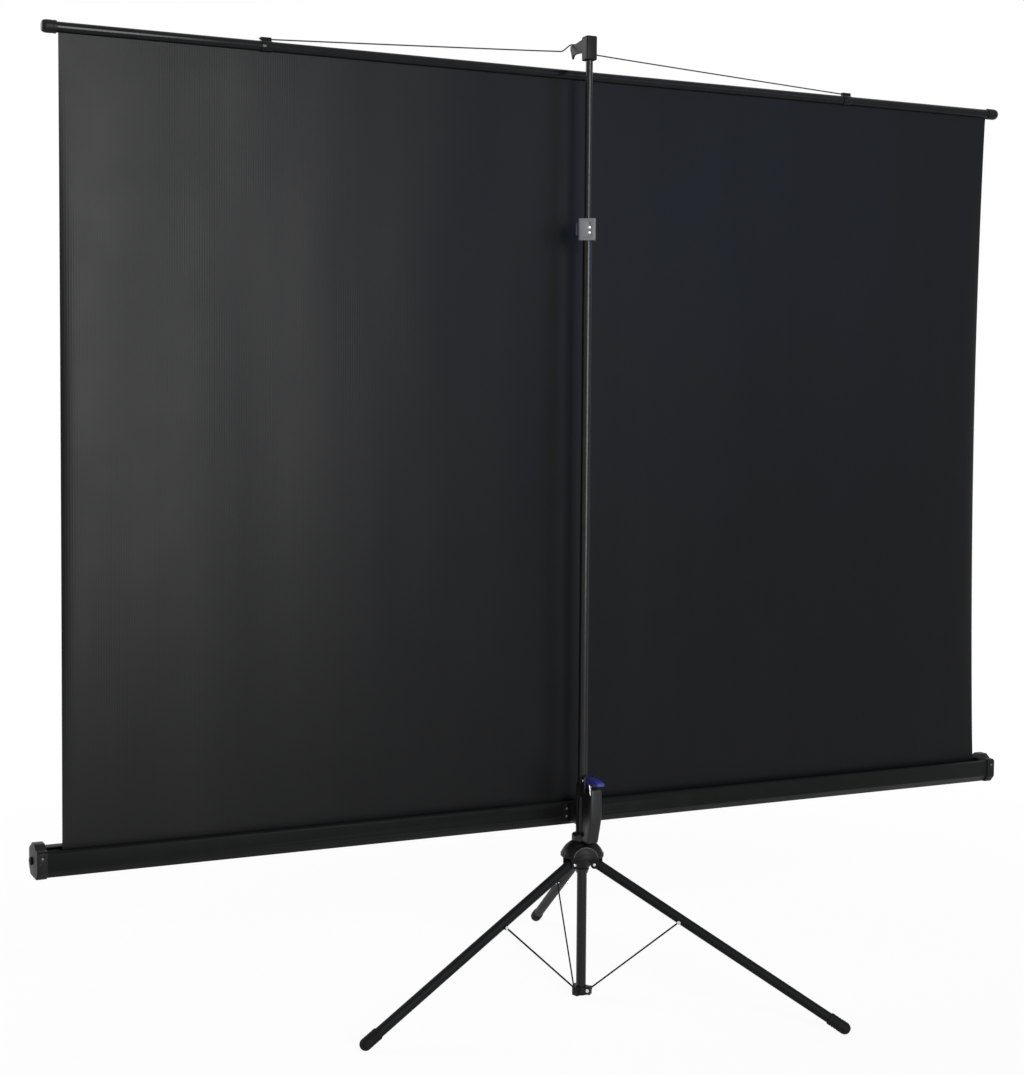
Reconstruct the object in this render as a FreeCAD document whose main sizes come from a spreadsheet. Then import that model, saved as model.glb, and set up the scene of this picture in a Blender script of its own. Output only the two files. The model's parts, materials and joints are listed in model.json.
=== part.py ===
# A portable projection screen on a folding tripod, in millimetres.
# +X runs along the screen, to the right as seen from behind; +Y points to the watched side; +Z is up.
# The origin is on the floor, on the mast's axis.
import FreeCAD, Part
import math
import os
import re
import Sketcher
from FreeCAD import Placement, Rotation, Vector

doc = FreeCAD.newDocument("TripodScreen")
sheet = doc.addObject("Spreadsheet::Sheet", "Sizes")

sizes = {
    # Clearances shared by all pieces
    "slide_gap": 0.3,
    "fit_gap": 0.05,
    "overrun": 2.0,
    # Mast tube and what sits on it
    "tube_outer": 19.0,
    "tube_wall": 1.5,
    "tube_length": 1461.0,
    "collar_low": 4.5,
    "collar_floor": 3.5,
    "collar_outer": 27.0,
    "collar_height": 14.7,
    "lug_reach": 19.0,
    "lug_back": 4.0,
    "collar_pin_radius": 14.5,
    "collar_pin_lift": 8.0,
    "rivet": 4.0,
    "rivet_head": 7.0,
    "rivet_head_thick": 1.4,
    "stop_outer": 28.0,
    "stop_foot_outer": 22.0,
    "stop_height": 9.0,
    # Lock block on the mast's top
    "lock_width": 33.2,
    "lock_depth": 25.2,
    "lock_height": 41.4,
    "lock_side": 1.6,
    "lock_turn": -29.5,
    "lock_seat": 20.0,
    "lock_edge": 4.0,
    "lock_screw": 5.0,
    "lock_screw_depth": 2.4,
    "lock_screw_head": 0.9,
    "lock_screw_side": 2.8,
    "lock_screw_low": 14.5,
    "lock_screw_step": 9.6,
    "lock_mark": 3.4,
    "lock_mark_lift": 32.0,
    "lock_mark_depth": 2.0,
    "bush_length": 40.0,
    "button_width": 13.0,
    "button_height": 24.0,
    "button_low": 9.0,
    "button_reach": 6.4,
    "button_inset": 0.4,
    "button_edge": 3.0,
    "button_pocket": 2.8,
    # Legs, feet and stays
    "leg_outer": 19.0,
    "leg_wall": 1.5,
    "leg_lean": 62.1,
    "leg_turn": 72.0,
    "leg_reach": 536.4,
    "leg_plug": 32.0,
    "leg_end_room": 7.0,
    "pivot_radius": 29.0,
    "pivot_pin": 5.0,
    "pivot_pin_half": 14.4,
    "foot_ball": 11.3,
    "foot_length": 31.0,
    "sole_depth": 0.8,
    "stay_along": 190.4,
    "stay_drop": 4.1,
    "stay_rod": 3.0,
    "stay_flat": 2.4,
    "stay_eye": 9.0,
    # Leg hub
    "brim_outer": 82.8,
    "brim_thick": 5.0,
    "hub_core": 60.0,
    "hub_foot": 25.0,
    "hub_skirt": 11.5,
    "hub_rise": 41.0,
    "hub_rim_lift": 12.7,
    "dome_ball": 43.5,
    "dome_drop": 10.3,
    "cheek_thick": 3.2,
    "cheek_round": 8.0,
    "slot_room": 0.6,
    "disc_radius": 24.4,
    "disc_depth": 20.0,
    "disc_reach": 37.0,
    # Carriage, handle and lever
    "ring_outer": 41.0,
    "ring_height": 15.0,
    "ring_edge": 4.0,
    "sleeve_outer": 25.0,
    "carriage_height": 110.0,
    "boss_width": 20.0,
    "boss_reach": 36.0,
    "boss_low": 30.0,
    "boss_height": 36.0,
    "handle_width": 24.0,
    "handle_low": 2.0,
    "handle_reach": 54.0,
    "handle_grip": 18.0,
    "handle_arm": 13.0,
    "handle_corner": 8.0,
    "handle_tuck": 13.0,
    "handle_tuck_rise": 50.0,
    "handle_top_drop": 11.0,
    "handle_web": 12.0,
    "handle_edge": 4.0,
    "lever_width": 16.0,
    "lever_front": 14.0,
    "lever_reach": 70.5,
    "lever_lift": 3.0,
    "lever_thick": 15.0,
    "lever_nose": 4.0,
    "lever_taper": 26.0,
    "lever_tip_thick": 6.0,
    "lever_edge": 2.5,
    "lever_pin": 5.0,
    "lever_pin_back": 20.0,
    "lever_pin_lift": 8.0,
    "lever_pin_head": 1.2,
    "ear_thick": 3.5,
    "ear_length": 15.0,
    "ear_rise": 18.0,
    "ear_root": 16.0,
    "stop_pin": 3.4,
    "stop_pin_back": 30.0,
    "stop_pin_seat": 8.0,
    # Case, its bracket and its caps
    "screen_shift": 10.0,
    "bracket_width": 48.0,
    "bracket_thick": 3.0,
    "screw": 3.6,
    "screw_head": 7.0,
    "screw_head_thick": 2.4,
    "screw_length": 7.0,
    "screw_spread": 29.0,
    "screw_step": 14.6,
    "pivot_bolt": 8.0,
    "pivot_bolt_head": 14.0,
    "pivot_bolt_head_thick": 4.0,
    "pivot_bolt_seat": 14.0,
    "case_shift": 5.6,
    "case_lift": 22.0,
    "case_depth": 64.0,
    "case_height": 46.5,
    "case_wall": 1.6,
    "case_end_room": 25.5,
    "cap_thick": 18.5,
    "cap_lap": 1.6,
    "cap_crown": 10.0,
    "cap_screw_lift": 36.0,
    "cap_screw_seat": 10.0,
    "cover": 15.0,
    "cover_thick": 4.5,
    # Roller and fabric
    "roll_inset": 41.5,
    "roll_lift": 24.2,
    "roller_outer": 32.0,
    "roller_wall": 1.4,
    "roll_outer": 36.0,
    "plug_length": 34.0,
    "plug_flange": 8.0,
    "roller_end_room": 0.6,
    "axle": 8.0,
    "axle_seat": 11.0,
    "axle_length": 36.0,
    "fabric_half": 1000.0,
    "fabric_drop": 1389.0,
    "fabric_thick": 0.4,
    "fabric_wave": 3.0,
    "waist_left": 2.0,
    "waist_right": 9.0,
    # Extension, head and top rail
    "ext_outer": 13.6,
    "ext_wall": 1.2,
    "ext_length": 660.0,
    "ext_seat": 20.0,
    "shoe_height": 18.0,
    "shoe_spigot": 15.0,
    "head_width": 22.4,
    "head_depth": 22.0,
    "head_height": 45.5,
    "head_crown": 6.4,
    "head_edge": 3.0,
    "hook_width": 10.0,
    "hook_nose": 5.0,
    "hook_thick": 20.0,
    "hook_tip_drop": 6.0,
    "hook_edge": 2.5,
    "rail_outer": 18.4,
    "rail_wall": 1.4,
    "rail_end_room": 3.0,
    "rail_slot": 3.2,
    "rail_cap": 22.4,
    "rail_cap_length": 25.8,
    "rail_cap_round": 8.0,
    "rail_spigot": 2.5,
    "hem_rod": 7.0,
    "hem_drop": 3.5,
    "bail_wire": 2.6,
    "bail_bend": 6.0,
    "bail_half": 631.0,
    "bail_lift": 4.0,
    "bail_kink": 30.0,
    "bail_kink_half": 35.0,
    "bail_rise": 44.0,
    "bail_hump_half": 15.4,
    "clip_length": 20.0,
    "clip_wall": 1.5,
    "clip_width": 6.0,
    "clip_mouth": 9.0,
    "clip_ear": 1.4,
}

# Places worked out from the sizes above
places = {
    "tube_foot": "collar_low + collar_floor",
    "tube_top": "tube_foot + tube_length",
    "tube_bore": "tube_outer / 2 - tube_wall",
    "slide_bore": "tube_outer / 2 + slide_gap",
    "lock_low": "tube_top - lock_seat",
    "lock_top": "lock_low + lock_height",
    "lock_left": "-lock_width / 2 - lock_side",
    "ext_bore": "ext_outer / 2 + slide_gap",
    "pivot_z": "foot_ball - sole_depth + leg_reach * cos(leg_lean)",
    "collar_pin_z": "collar_low + collar_pin_lift",
    "stay_side": "leg_outer / 2 + slide_gap + stay_flat / 2",
    "stay_pin_x": "pivot_radius + stay_along * sin(leg_lean) - stay_drop * cos(leg_lean)",
    "stay_pin_z": "pivot_z - stay_along * cos(leg_lean) - stay_drop * sin(leg_lean)",
    "stay_length": "hypot(stay_pin_x - collar_pin_radius; stay_pin_z - collar_pin_z)",
    "stay_lean": "atan2(stay_pin_x - collar_pin_radius; stay_pin_z - collar_pin_z)",
    "hub_low": "pivot_z - hub_skirt",
    "hub_top": "pivot_z + hub_rise",
    "rim_z": "pivot_z + hub_rim_lift",
    "carriage_z": "hub_top + slide_gap",
    "carriage_top": "carriage_z + carriage_height",
    "handle_inner": "handle_reach - handle_grip",
    "arm_top": "carriage_top - handle_top_drop",
    "lever_low": "carriage_top + lever_lift",
    "lever_pin_z": "lever_low + lever_pin_lift",
    "boss_z": "carriage_z + boss_low",
    "bracket_mid": "boss_z + boss_height / 2",
    "case_half": "fabric_half + case_end_room",
    "rail_half": "fabric_half + rail_end_room",
    "case_y": "boss_reach + bracket_thick",
    "case_low": "carriage_z + case_lift",
    "case_top": "case_low + case_height",
    "roll_y": "case_y + roll_inset",
    "roll_z": "case_low + roll_lift",
    "fabric_y": "roll_y - roll_outer / 2 - slide_gap - fabric_thick / 2",
    "rail_z": "case_top + fabric_drop + rail_outer / 2",
    "rail_bore": "rail_outer / 2 - rail_wall",
    "hem_z": "rail_z - hem_drop",
    "fabric_top": "hem_z - hem_rod / 2 - fit_gap",
    "bail_z": "rail_z + rail_outer / 2 + bail_lift",
    "hook_top": "bail_z + bail_rise - bail_wire / 2 - slide_gap",
    "head_top": "hook_top + head_crown",
    "head_low": "head_top - head_height",
    "ext_low": "head_low + ext_seat - ext_length",
}

for row, (alias, value) in enumerate(sizes.items(), start=1):
    sheet.set(f"A{row}", alias)
    sheet.set(f"B{row}", str(value))
    sheet.setAlias(f"B{row}", alias)
doc.recompute()


def bind(text):
    """The expression with each size read from the sheet and each place written out."""
    def word(match):
        name = match.group(0)
        if name in places:
            return "(" + bind(places[name]) + ")"
        return "Sizes." + name if name in sizes else name
    return re.sub(r"[a-z_]+", word, text)


def number(text):
    """The expression's value, for the pieces whose shape is set directly."""
    value = sheet.evalExpression(bind(text))
    return float(getattr(value, "Value", value))


along_x = Rotation(Vector(0, 1, 0), 90)
along_y = Rotation(Vector(1, 0, 0), -90)
upright = Rotation()
leg_angles = {"left": "leg_turn + 120", "right": "leg_turn - 120", "front": "leg_turn"}


def put(piece, x="0", y="0", z="0", turn=upright):
    piece.Placement = Placement(Vector(), turn)
    for axis, text in (("x", x), ("y", y), ("z", z)):
        piece.setExpression("Placement.Base." + axis, bind(text))
    return piece


def made(kind, **bound):
    piece = doc.addObject(kind, kind.split("::")[1])
    for name, text in bound.items():
        piece.setExpression(name, bind(text))
    return piece


def rod(radius, length, x="0", y="0", z="0", turn=upright):
    return put(made("Part::Cylinder", Radius=radius, Height=length), x, y, z, turn)


def block(length, width, height, x, y, z):
    return put(made("Part::Box", Length=length, Width=width, Height=height), x, y, z)


def ball(radius, x, y, z):
    return put(made("Part::Sphere", Radius=radius), x, y, z)


def fused(*pieces):
    piece = doc.addObject("Part::MultiFuse", "Fused")
    piece.Shapes = list(pieces)
    piece.Refine = True
    return piece


def cut(base, *tools):
    piece = doc.addObject("Part::Cut", "Cut")
    piece.Base = base
    piece.Tool = tools[0] if len(tools) == 1 else fused(*tools)
    piece.Refine = True
    return piece


def group(*pieces):
    piece = doc.addObject("Part::Compound", "Group")
    piece.Links = list(pieces)
    return piece


def swung(piece, angle):
    """The piece turned about the mast's axis."""
    turned = group(piece)
    turned.Placement = Placement(Vector(), Rotation(Vector(0, 0, 1), 1))
    turned.setExpression("Placement.Rotation.Angle", bind(angle))
    return turned


def thrice(piece, extra="0"):
    return [swung(piece, f"{angle} + {extra}") for angle in leg_angles.values()]


def leaned(piece, x, y, z, angle):
    """The piece's +Z turned in the XZ plane, by an angle counted from straight up."""
    piece.Placement = Placement(Vector(), Rotation(Vector(0, 1, 0), 1))
    piece.setExpression("Placement.Rotation.Angle", bind(angle))
    for axis, text in (("x", x), ("y", y), ("z", z)):
        piece.setExpression("Placement.Base." + axis, bind(text))
    return piece


def outlined(points, start, length):
    """A body padded along X from an outline of Y and Z places."""
    body = doc.addObject("PartDesign::Body", "Body")
    sketch = body.newObject("Sketcher::SketchObject", "Outline")
    plane = next(part for part in body.Origin.OriginFeatures if part.Role == "YZ_Plane")
    sketch.AttachmentSupport = [(plane, "")]
    sketch.MapMode = "FlatFace"
    corners = [Vector(number(y), number(z), 0) for y, z in points]
    for i, corner in enumerate(corners):
        sketch.addGeometry(Part.LineSegment(corner, corners[(i + 1) % len(corners)]))
    for i, (y, z) in enumerate(points):
        sketch.addConstraint(Sketcher.Constraint("Coincident", i - 1 if i else len(points) - 1, 2, i, 1))
        for kind, text, value in (("DistanceX", y, corners[i].x), ("DistanceY", z, corners[i].y)):
            index = sketch.addConstraint(Sketcher.Constraint(kind, -1, 1, i, 1, value))
            sketch.setExpression(f"Constraints[{index}]", bind(text))
    sketch.setExpression("AttachmentOffset.Base.z", bind(start))
    pad = body.newObject("PartDesign::Pad", "Pad")
    pad.Profile = sketch
    pad.setExpression("Length", bind(length))
    return body


def rounded(piece, radius, chosen):
    """The piece with the chosen edges rounded."""
    doc.recompute()
    size = number(radius)
    soft = doc.addObject("Part::Fillet", "Rounded")
    soft.Base = piece
    edges = [i for i, edge in enumerate(piece.Shape.Edges, start=1) if chosen(edge)]
    soft.Edges = [(i, size, size) for i in edges]
    return soft


def runs_along(axis):
    """A test for straight edges along an axis."""
    def test(edge):
        if not isinstance(edge.Curve, Part.Line):
            return False
        return abs(edge.Curve.Direction.dot(axis)) > 0.999
    return test


nodes = {}


def node(label, piece):
    piece.Label = label
    nodes[label] = piece
    return piece


# Mast

def main_tube():
    outside = rod("tube_outer / 2", "tube_length", z="tube_foot")
    inside = rod("tube_bore", "tube_length + 2 * overrun", z="tube_foot - overrun")
    return cut(outside, inside)


def base_collar():
    cup = rod("collar_outer / 2", "collar_height", z="collar_low")
    lug = block("lug_reach", "lug_back + leg_outer / 2", "collar_height", "0", "-lug_back", "collar_low")
    seat = rod("tube_outer / 2 + fit_gap", "collar_height", z="tube_foot")
    hole = rod("rivet / 2 + fit_gap", "lug_back + leg_outer / 2 + 2 * overrun", "collar_pin_radius",
               "-lug_back - overrun", "collar_pin_z", along_y)
    room = rod("rivet_head / 2 + slide_gap", "rivet_head_thick + overrun", "collar_pin_radius",
               "-lug_back - rivet_head_thick - overrun", "collar_pin_z", along_y)
    return cut(fused(cup, *thrice(lug)), seat, *thrice(hole), *thrice(room))


def collar_rivets():
    shank = rod("rivet / 2", "lug_back + leg_outer / 2", "collar_pin_radius", "-lug_back",
                "collar_pin_z", along_y)
    head = rod("rivet_head / 2", "rivet_head_thick", "collar_pin_radius", "-lug_back - rivet_head_thick",
               "collar_pin_z", along_y)
    return group(*thrice(fused(shank, head)))


def hub_stop():
    ring = made("Part::Cone", Radius1="stop_foot_outer / 2", Radius2="stop_outer / 2", Height="stop_height")
    put(ring, z="hub_low - slide_gap - stop_height")
    bore = rod("tube_outer / 2 + fit_gap", "stop_height + 2 * overrun",
               z="hub_low - stop_height - 2 * overrun")
    return cut(ring, bore)


def lock_block():
    body = block("lock_width", "lock_depth", "lock_height", "lock_left", "-lock_depth / 2", "lock_low")
    soft = rounded(body, "lock_edge", runs_along(Vector(0, 0, 1)))
    seat = rod("tube_outer / 2 + fit_gap", "lock_seat + overrun", z="lock_low - overrun")
    bore = rod("ext_bore", "lock_height + 2 * overrun", z="lock_low - overrun")
    pocket = block("button_pocket + overrun", "button_width + 2 * slide_gap",
                   "button_height + 2 * slide_gap",
                   "lock_left - overrun", "-button_width / 2 - slide_gap",
                   "lock_low + button_low - slide_gap")
    mark = rod("lock_mark / 2", "lock_mark_depth + overrun", "lock_screw_side", "-lock_depth / 2 - overrun",
               "lock_low + lock_mark_lift", along_y)
    holes = [rod("lock_screw / 2 + fit_gap", "lock_screw_depth + overrun", "lock_screw_side",
                 "-lock_depth / 2 - overrun",
                 f"lock_low + lock_screw_low + {i} * lock_screw_step", along_y) for i in range(2)]
    return swung(cut(soft, seat, bore, pocket, mark, *holes), "lock_turn")


def lock_rivets():
    rivets = [rod("lock_screw / 2", "lock_screw_depth + lock_screw_head", "lock_screw_side",
                  "-lock_depth / 2 - lock_screw_head",
                  f"lock_low + lock_screw_low + {i} * lock_screw_step", along_y) for i in range(2)]
    return swung(group(*rivets), "lock_turn")


def guide_bush():
    outside = rod("tube_bore - fit_gap", "bush_length", z="tube_top - bush_length")
    inside = rod("ext_bore", "bush_length + 2 * overrun", z="tube_top - bush_length - overrun")
    return cut(outside, inside)


def lock_button():
    body = block("button_reach + button_inset", "button_width", "button_height",
                 "lock_left - button_reach", "-button_width / 2", "lock_low + button_low")
    outer = number("lock_left - button_reach")
    soft = rounded(body, "button_edge", lambda edge: edge.BoundBox.XMax < outer + number("fit_gap"))
    return swung(soft, "lock_turn")


# Leg hub

def leg_hub():
    """A dome on a brim, with a cone under it, a half disc behind and two cheeks for each leg."""
    brim = rod("brim_outer / 2", "brim_thick", z="rim_z")
    drum = rod("brim_outer / 2", "hub_top - rim_z", z="rim_z")
    dome = doc.addObject("Part::MultiCommon", "Dome")
    dome.Shapes = [drum, ball("dome_ball", "0", "0", "rim_z - dome_drop")]
    core = made("Part::Cone", Radius1="hub_foot / 2", Radius2="hub_core / 2", Height="rim_z - hub_low")
    put(core, z="hub_low")
    disc = made("Part::Cylinder", Radius="disc_radius", Height="disc_depth")
    disc.Angle = 180
    stood = along_x * Rotation(Vector(0, 0, 1), 90)
    put(disc, "disc_reach - disc_depth", "0", "rim_z", stood)
    cheeks = []
    for y in ("leg_outer / 2 + slide_gap", "-leg_outer / 2 - slide_gap - cheek_thick"):
        cheeks.append(rod("cheek_round", "cheek_thick", "pivot_radius", y, "pivot_z", along_y))
        cheeks.append(block("2 * cheek_round", "cheek_thick", "hub_rim_lift + brim_thick / 2",
                            "pivot_radius - cheek_round", y, "pivot_z"))
    bore = rod("slide_bore", "hub_top - hub_low + 2 * overrun", z="hub_low - overrun")
    slot = block("brim_outer", "leg_outer + 2 * slide_gap",
                 "hub_skirt + overrun + leg_outer / 2 + slot_room",
                 "pivot_radius - leg_outer / 2 - slot_room", "-leg_outer / 2 - slide_gap",
                 "hub_low - overrun")
    hole = rod("pivot_pin / 2 + fit_gap", "2 * pivot_pin_half + 2 * overrun", "pivot_radius",
               "-pivot_pin_half - overrun", "pivot_z", along_y)
    body = fused(brim, dome, core, swung(disc, "leg_turn + 180"), *thrice(fused(*cheeks)))
    return cut(body, bore, *thrice(slot), *thrice(hole))


def leg_pivot_pins():
    pin = rod("pivot_pin / 2", "2 * pivot_pin_half", "pivot_radius", "-pivot_pin_half", "pivot_z", along_y)
    return group(*thrice(pin))


# Legs, feet and stays, each made in the XZ plane and swung to its place

def on_leg(piece, start):
    """The piece laid along the leg's line, its base at a distance from the pivot."""
    return leaned(piece, f"pivot_radius + ({start}) * sin(leg_lean)", "0",
                  f"pivot_z - ({start}) * cos(leg_lean)",
                  "180 - leg_lean")


def leg_tube():
    length = "leg_reach - leg_end_room"
    outside = on_leg(made("Part::Cylinder", Radius="leg_outer / 2", Height=length), "0")
    end = ball("leg_outer / 2", "pivot_radius", "0", "pivot_z")
    inside = on_leg(made("Part::Cylinder", Radius="leg_outer / 2 - leg_wall", Height=length), "leg_plug")
    pin = rod("pivot_pin / 2 + fit_gap", "leg_outer + 2 * overrun", "pivot_radius",
              "-leg_outer / 2 - overrun",
              "pivot_z", along_y)
    rivet = rod("rivet / 2 + fit_gap", "leg_outer + 2 * overrun", "stay_pin_x", "-leg_outer / 2 - overrun",
                "stay_pin_z", along_y)
    return cut(fused(outside, end), inside, pin, rivet)


def foot():
    start = "leg_reach - foot_length"
    sleeve = on_leg(made("Part::Cylinder", Radius="foot_ball", Height="foot_length"), start)
    toe = leaned(made("Part::Sphere", Radius="foot_ball"), "pivot_radius + leg_reach * sin(leg_lean)", "0",
                 "pivot_z - leg_reach * cos(leg_lean)", "180 - leg_lean")
    socket = made("Part::Cylinder", Radius="leg_outer / 2 + fit_gap",
                  Height="foot_length - leg_end_room + fit_gap + overrun")
    on_leg(socket, start + " - overrun")
    reach = "pivot_radius + leg_reach * sin(leg_lean) + 2 * foot_ball"
    floor = block(reach, "4 * foot_ball", "4 * foot_ball", "0", "-2 * foot_ball", "-4 * foot_ball")
    return cut(fused(sleeve, toe), socket, floor)


def stay_rivet():
    back = "-leg_outer / 2 - rivet_head_thick"
    tail = "stay_side + stay_flat / 2"
    shank = rod("rivet / 2", f"leg_outer / 2 + {tail}", "stay_pin_x", "-leg_outer / 2", "stay_pin_z",
                along_y)
    heads = [rod("rivet_head / 2", "rivet_head_thick", "stay_pin_x", y, "stay_pin_z", along_y)
             for y in (back, tail + " + fit_gap")]
    neck = rod("rivet / 2", "rivet_head_thick", "stay_pin_x", tail, "stay_pin_z", along_y)
    return fused(shank, neck, *heads)


def stay():
    """A thin rod with flattened ends and a flat inner side; its foot lies beside the collar's lug."""
    bar = leaned(made("Part::Cylinder", Radius="stay_rod / 2", Height="stay_length"),
                 "collar_pin_radius", "stay_side", "collar_pin_z", "stay_lean")
    side = "stay_side - stay_flat / 2"
    eyes = [rod("stay_eye / 2", "stay_flat", x, side, z, along_y)
            for x, z in (("stay_pin_x", "stay_pin_z"), ("collar_pin_radius", "collar_pin_z"))]
    tail = rod("rivet_head / 2", "stay_flat + rivet_head_thick", "collar_pin_radius", side,
               "collar_pin_z", along_y)
    slab = leaned(made("Part::Box", Length="stay_rod", Width="stay_flat", Height="stay_length"),
                  "collar_pin_radius - stay_rod / 2 * cos(stay_lean)", side,
                  "collar_pin_z + stay_rod / 2 * sin(stay_lean)", "stay_lean")
    clear = rod("rivet_head / 2 + slide_gap", "leg_outer", "stay_pin_x", "stay_side + stay_flat / 2",
                "stay_pin_z",
                along_y)
    flat = block("leg_reach", "leg_outer", "leg_reach", "0", f"{side} - leg_outer", "0")
    hole = rod("rivet / 2 + fit_gap", "leg_outer", "stay_pin_x", "stay_side - leg_outer / 2",
               "stay_pin_z", along_y)
    bare = cut(bar, clear, flat)
    return cut(fused(bare, slab, *eyes, tail), hole)


# Carriage

def carriage_body():
    ring = rounded(rod("ring_outer / 2", "ring_height", z="carriage_z"), "ring_edge",
                   lambda edge: isinstance(edge.Curve, Part.Circle))
    open_height = "arm_top - handle_arm - carriage_z - ring_height"
    sleeve = cut(rod("sleeve_outer / 2", "carriage_height", z="carriage_z"),
                 block("2 * sleeve_outer", "sleeve_outer", open_height, "-sleeve_outer", "-sleeve_outer",
                       "carriage_z + ring_height"))
    boss = block("boss_width", "boss_reach", "boss_height", "-boss_width / 2", "0", "boss_z")
    low = "carriage_z + handle_low"
    grip_in = "-handle_inner"
    c_shape = outlined([
        ("0", low),
        ("-handle_reach + handle_tuck", low),
        ("-handle_reach", f"{low} + handle_tuck_rise"),
        ("-handle_reach", "carriage_top"),
        (grip_in, "carriage_top"),
        (grip_in, "arm_top"),
        ("0", "arm_top"),
        ("0", "arm_top - handle_arm"),
        (grip_in + " + handle_corner", "arm_top - handle_arm"),
        (grip_in, "arm_top - handle_arm - handle_corner"),
        (grip_in, f"{low} + handle_tuck_rise"),
        (grip_in + " + handle_tuck", f"{low} + handle_arm"),
        ("0", f"{low} + handle_arm"),
    ], "-handle_width / 2", "handle_width")
    back = number("-handle_reach")
    handle = rounded(c_shape, "handle_edge", lambda edge: edge.BoundBox.YMax < back + number("fit_gap")
                     and runs_along(Vector(0, 0, 1))(edge))
    pane = block("handle_web", "handle_inner", f"{open_height} + ring_height - handle_low",
                 "-handle_web / 2", "-handle_inner", low)
    ears = [block("ear_thick", "ear_length", "ear_root + ear_rise", x,
                  "-lever_pin_back - ear_length / 2", "carriage_top - ear_root")
            for x in ("lever_width / 2 + slide_gap", "-lever_width / 2 - slide_gap - ear_thick")]
    web = block("lever_width + 2 * slide_gap + 2 * ear_thick", "lever_pin_back + ear_length / 2",
                "ear_root",
                "-lever_width / 2 - slide_gap - ear_thick", "-lever_pin_back - ear_length / 2",
                "carriage_top - ear_root")
    bore = rod("slide_bore", "carriage_height + 2 * overrun", z="carriage_z - overrun")
    pin = rod("lever_pin / 2 + fit_gap", "2 * lever_width", "-lever_width", "-lever_pin_back",
              "lever_pin_z", along_x)
    post = rod("stop_pin / 2 + fit_gap", "stop_pin_seat + overrun", "0", "-stop_pin_back",
               "arm_top - stop_pin_seat")
    bolt = rod("pivot_bolt / 2 + fit_gap", "pivot_bolt_seat + overrun", "0", "boss_reach - pivot_bolt_seat",
               "bracket_mid", along_y)
    return cut(fused(ring, sleeve, boss, handle, pane, web, *ears), bore, pin, post, bolt)


def clamp_lever():
    front = "-lever_front"
    tip = "-lever_reach"
    top = "lever_low + lever_thick"
    bend = "-lever_reach + lever_taper"
    bar = outlined([
        (front, "lever_low + lever_nose"), (front, f"{top} - lever_nose"), (front + " - lever_nose", top),
        (bend, top), (tip, f"{top} - lever_nose"), (tip, f"{top} - lever_nose - lever_tip_thick"),
        (bend, "lever_low"), (front + " - lever_nose", "lever_low"),
    ], "-lever_width / 2", "lever_width")
    end = number(tip)
    soft = rounded(bar, "lever_edge", lambda edge: edge.BoundBox.YMax < end + number("fit_gap"))
    hole = rod("lever_pin / 2 + fit_gap", "2 * lever_width", "-lever_width", "-lever_pin_back",
               "lever_pin_z", along_x)
    return cut(soft, hole)


def lever_pin():
    half = "lever_width / 2 + slide_gap + ear_thick + lever_pin_head"
    return rod("lever_pin / 2", f"2 * ({half})", f"-({half})", "-lever_pin_back", "lever_pin_z", along_x)


def lever_stop_pin():
    return rod("stop_pin / 2", "lever_low - slide_gap - arm_top + stop_pin_seat", "0", "-stop_pin_back",
               "arm_top - stop_pin_seat")


# Case and bracket

def screw_places():
    for side in (-1, 1):
        for step in (-1, 1):
            yield f"{side} * screw_spread / 2", f"bracket_mid + {step} * screw_step / 2"


def case_bracket():
    plate = block("bracket_width", "bracket_thick", "boss_height", "-bracket_width / 2", "boss_reach",
                  "boss_z")
    holes = [rod("screw / 2 + fit_gap", "bracket_thick + 2 * overrun", x, "boss_reach - overrun", z,
                 along_y)
             for x, z in screw_places()]
    bolt = rod("pivot_bolt / 2 + fit_gap", "bracket_thick + 2 * overrun", "0", "boss_reach - overrun",
               "bracket_mid",
               along_y)
    return cut(plate, bolt, *holes)


def bracket_screws():
    screws = []
    for x, z in screw_places():
        head = rod("screw_head / 2", "screw_head_thick", x, "boss_reach - screw_head_thick", z, along_y)
        screws.append(fused(head, rod("screw / 2", "screw_length", x, "boss_reach", z, along_y)))
    return group(*screws)


def pivot_bolt():
    inside = "case_y + case_wall"
    shank = rod("pivot_bolt / 2", f"{inside} - boss_reach + pivot_bolt_seat", "0",
                "boss_reach - pivot_bolt_seat",
                "bracket_mid", along_y)
    return fused(shank, rod("pivot_bolt_head / 2", "pivot_bolt_head_thick", "0", inside, "bracket_mid",
                            along_y))


# The case's outline as shares of its depth and height, with the side that each corner's wall lies on
case_shares = (
    (0.0, 0.28, 1, 1), (0.0, 0.93, 1, -1), (0.06, 1.0, 1, -1), (0.88, 1.0, -1, -1),
    (1.0, 0.86, -1, -1), (1.0, 0.28, -1, 1), (0.84, 0.0, -1, 1), (0.16, 0.0, 1, 1),
)
slot_shares = (0.06, 0.56)


def case_outline(grow):
    return [(f"case_y + {y} * case_depth - {side} * ({grow})",
             f"case_low + {z} * case_height - {lift} * ({grow})")
            for y, z, side, lift in case_shares]


def case_shell():
    start = "case_shift - case_half"
    outside = outlined(case_outline("0"), start, "2 * case_half")
    inside = outlined(case_outline("-case_wall"), start + " - overrun", "2 * case_half + 2 * overrun")
    near, far = slot_shares
    slot = block("2 * case_half + 2 * overrun", f"{far - near} * case_depth", "case_wall + 2 * overrun",
                 start + " - overrun", f"case_y + {near} * case_depth", "case_top - case_wall - overrun")
    holes = [rod("screw / 2 + fit_gap", "case_wall + 2 * overrun", x, "case_y - overrun", z, along_y)
             for x, z in screw_places()]
    bolt = rod("pivot_bolt / 2 + fit_gap", "case_wall + 2 * overrun", "0", "case_y - overrun",
               "bracket_mid", along_y)
    return cut(outside, inside, slot, bolt, *holes)


crown_shares = {
    "back": 0.16,
    "back_top": 0.36,
    "front_top": 0.66,
    "front": 0.86,
}


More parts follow.
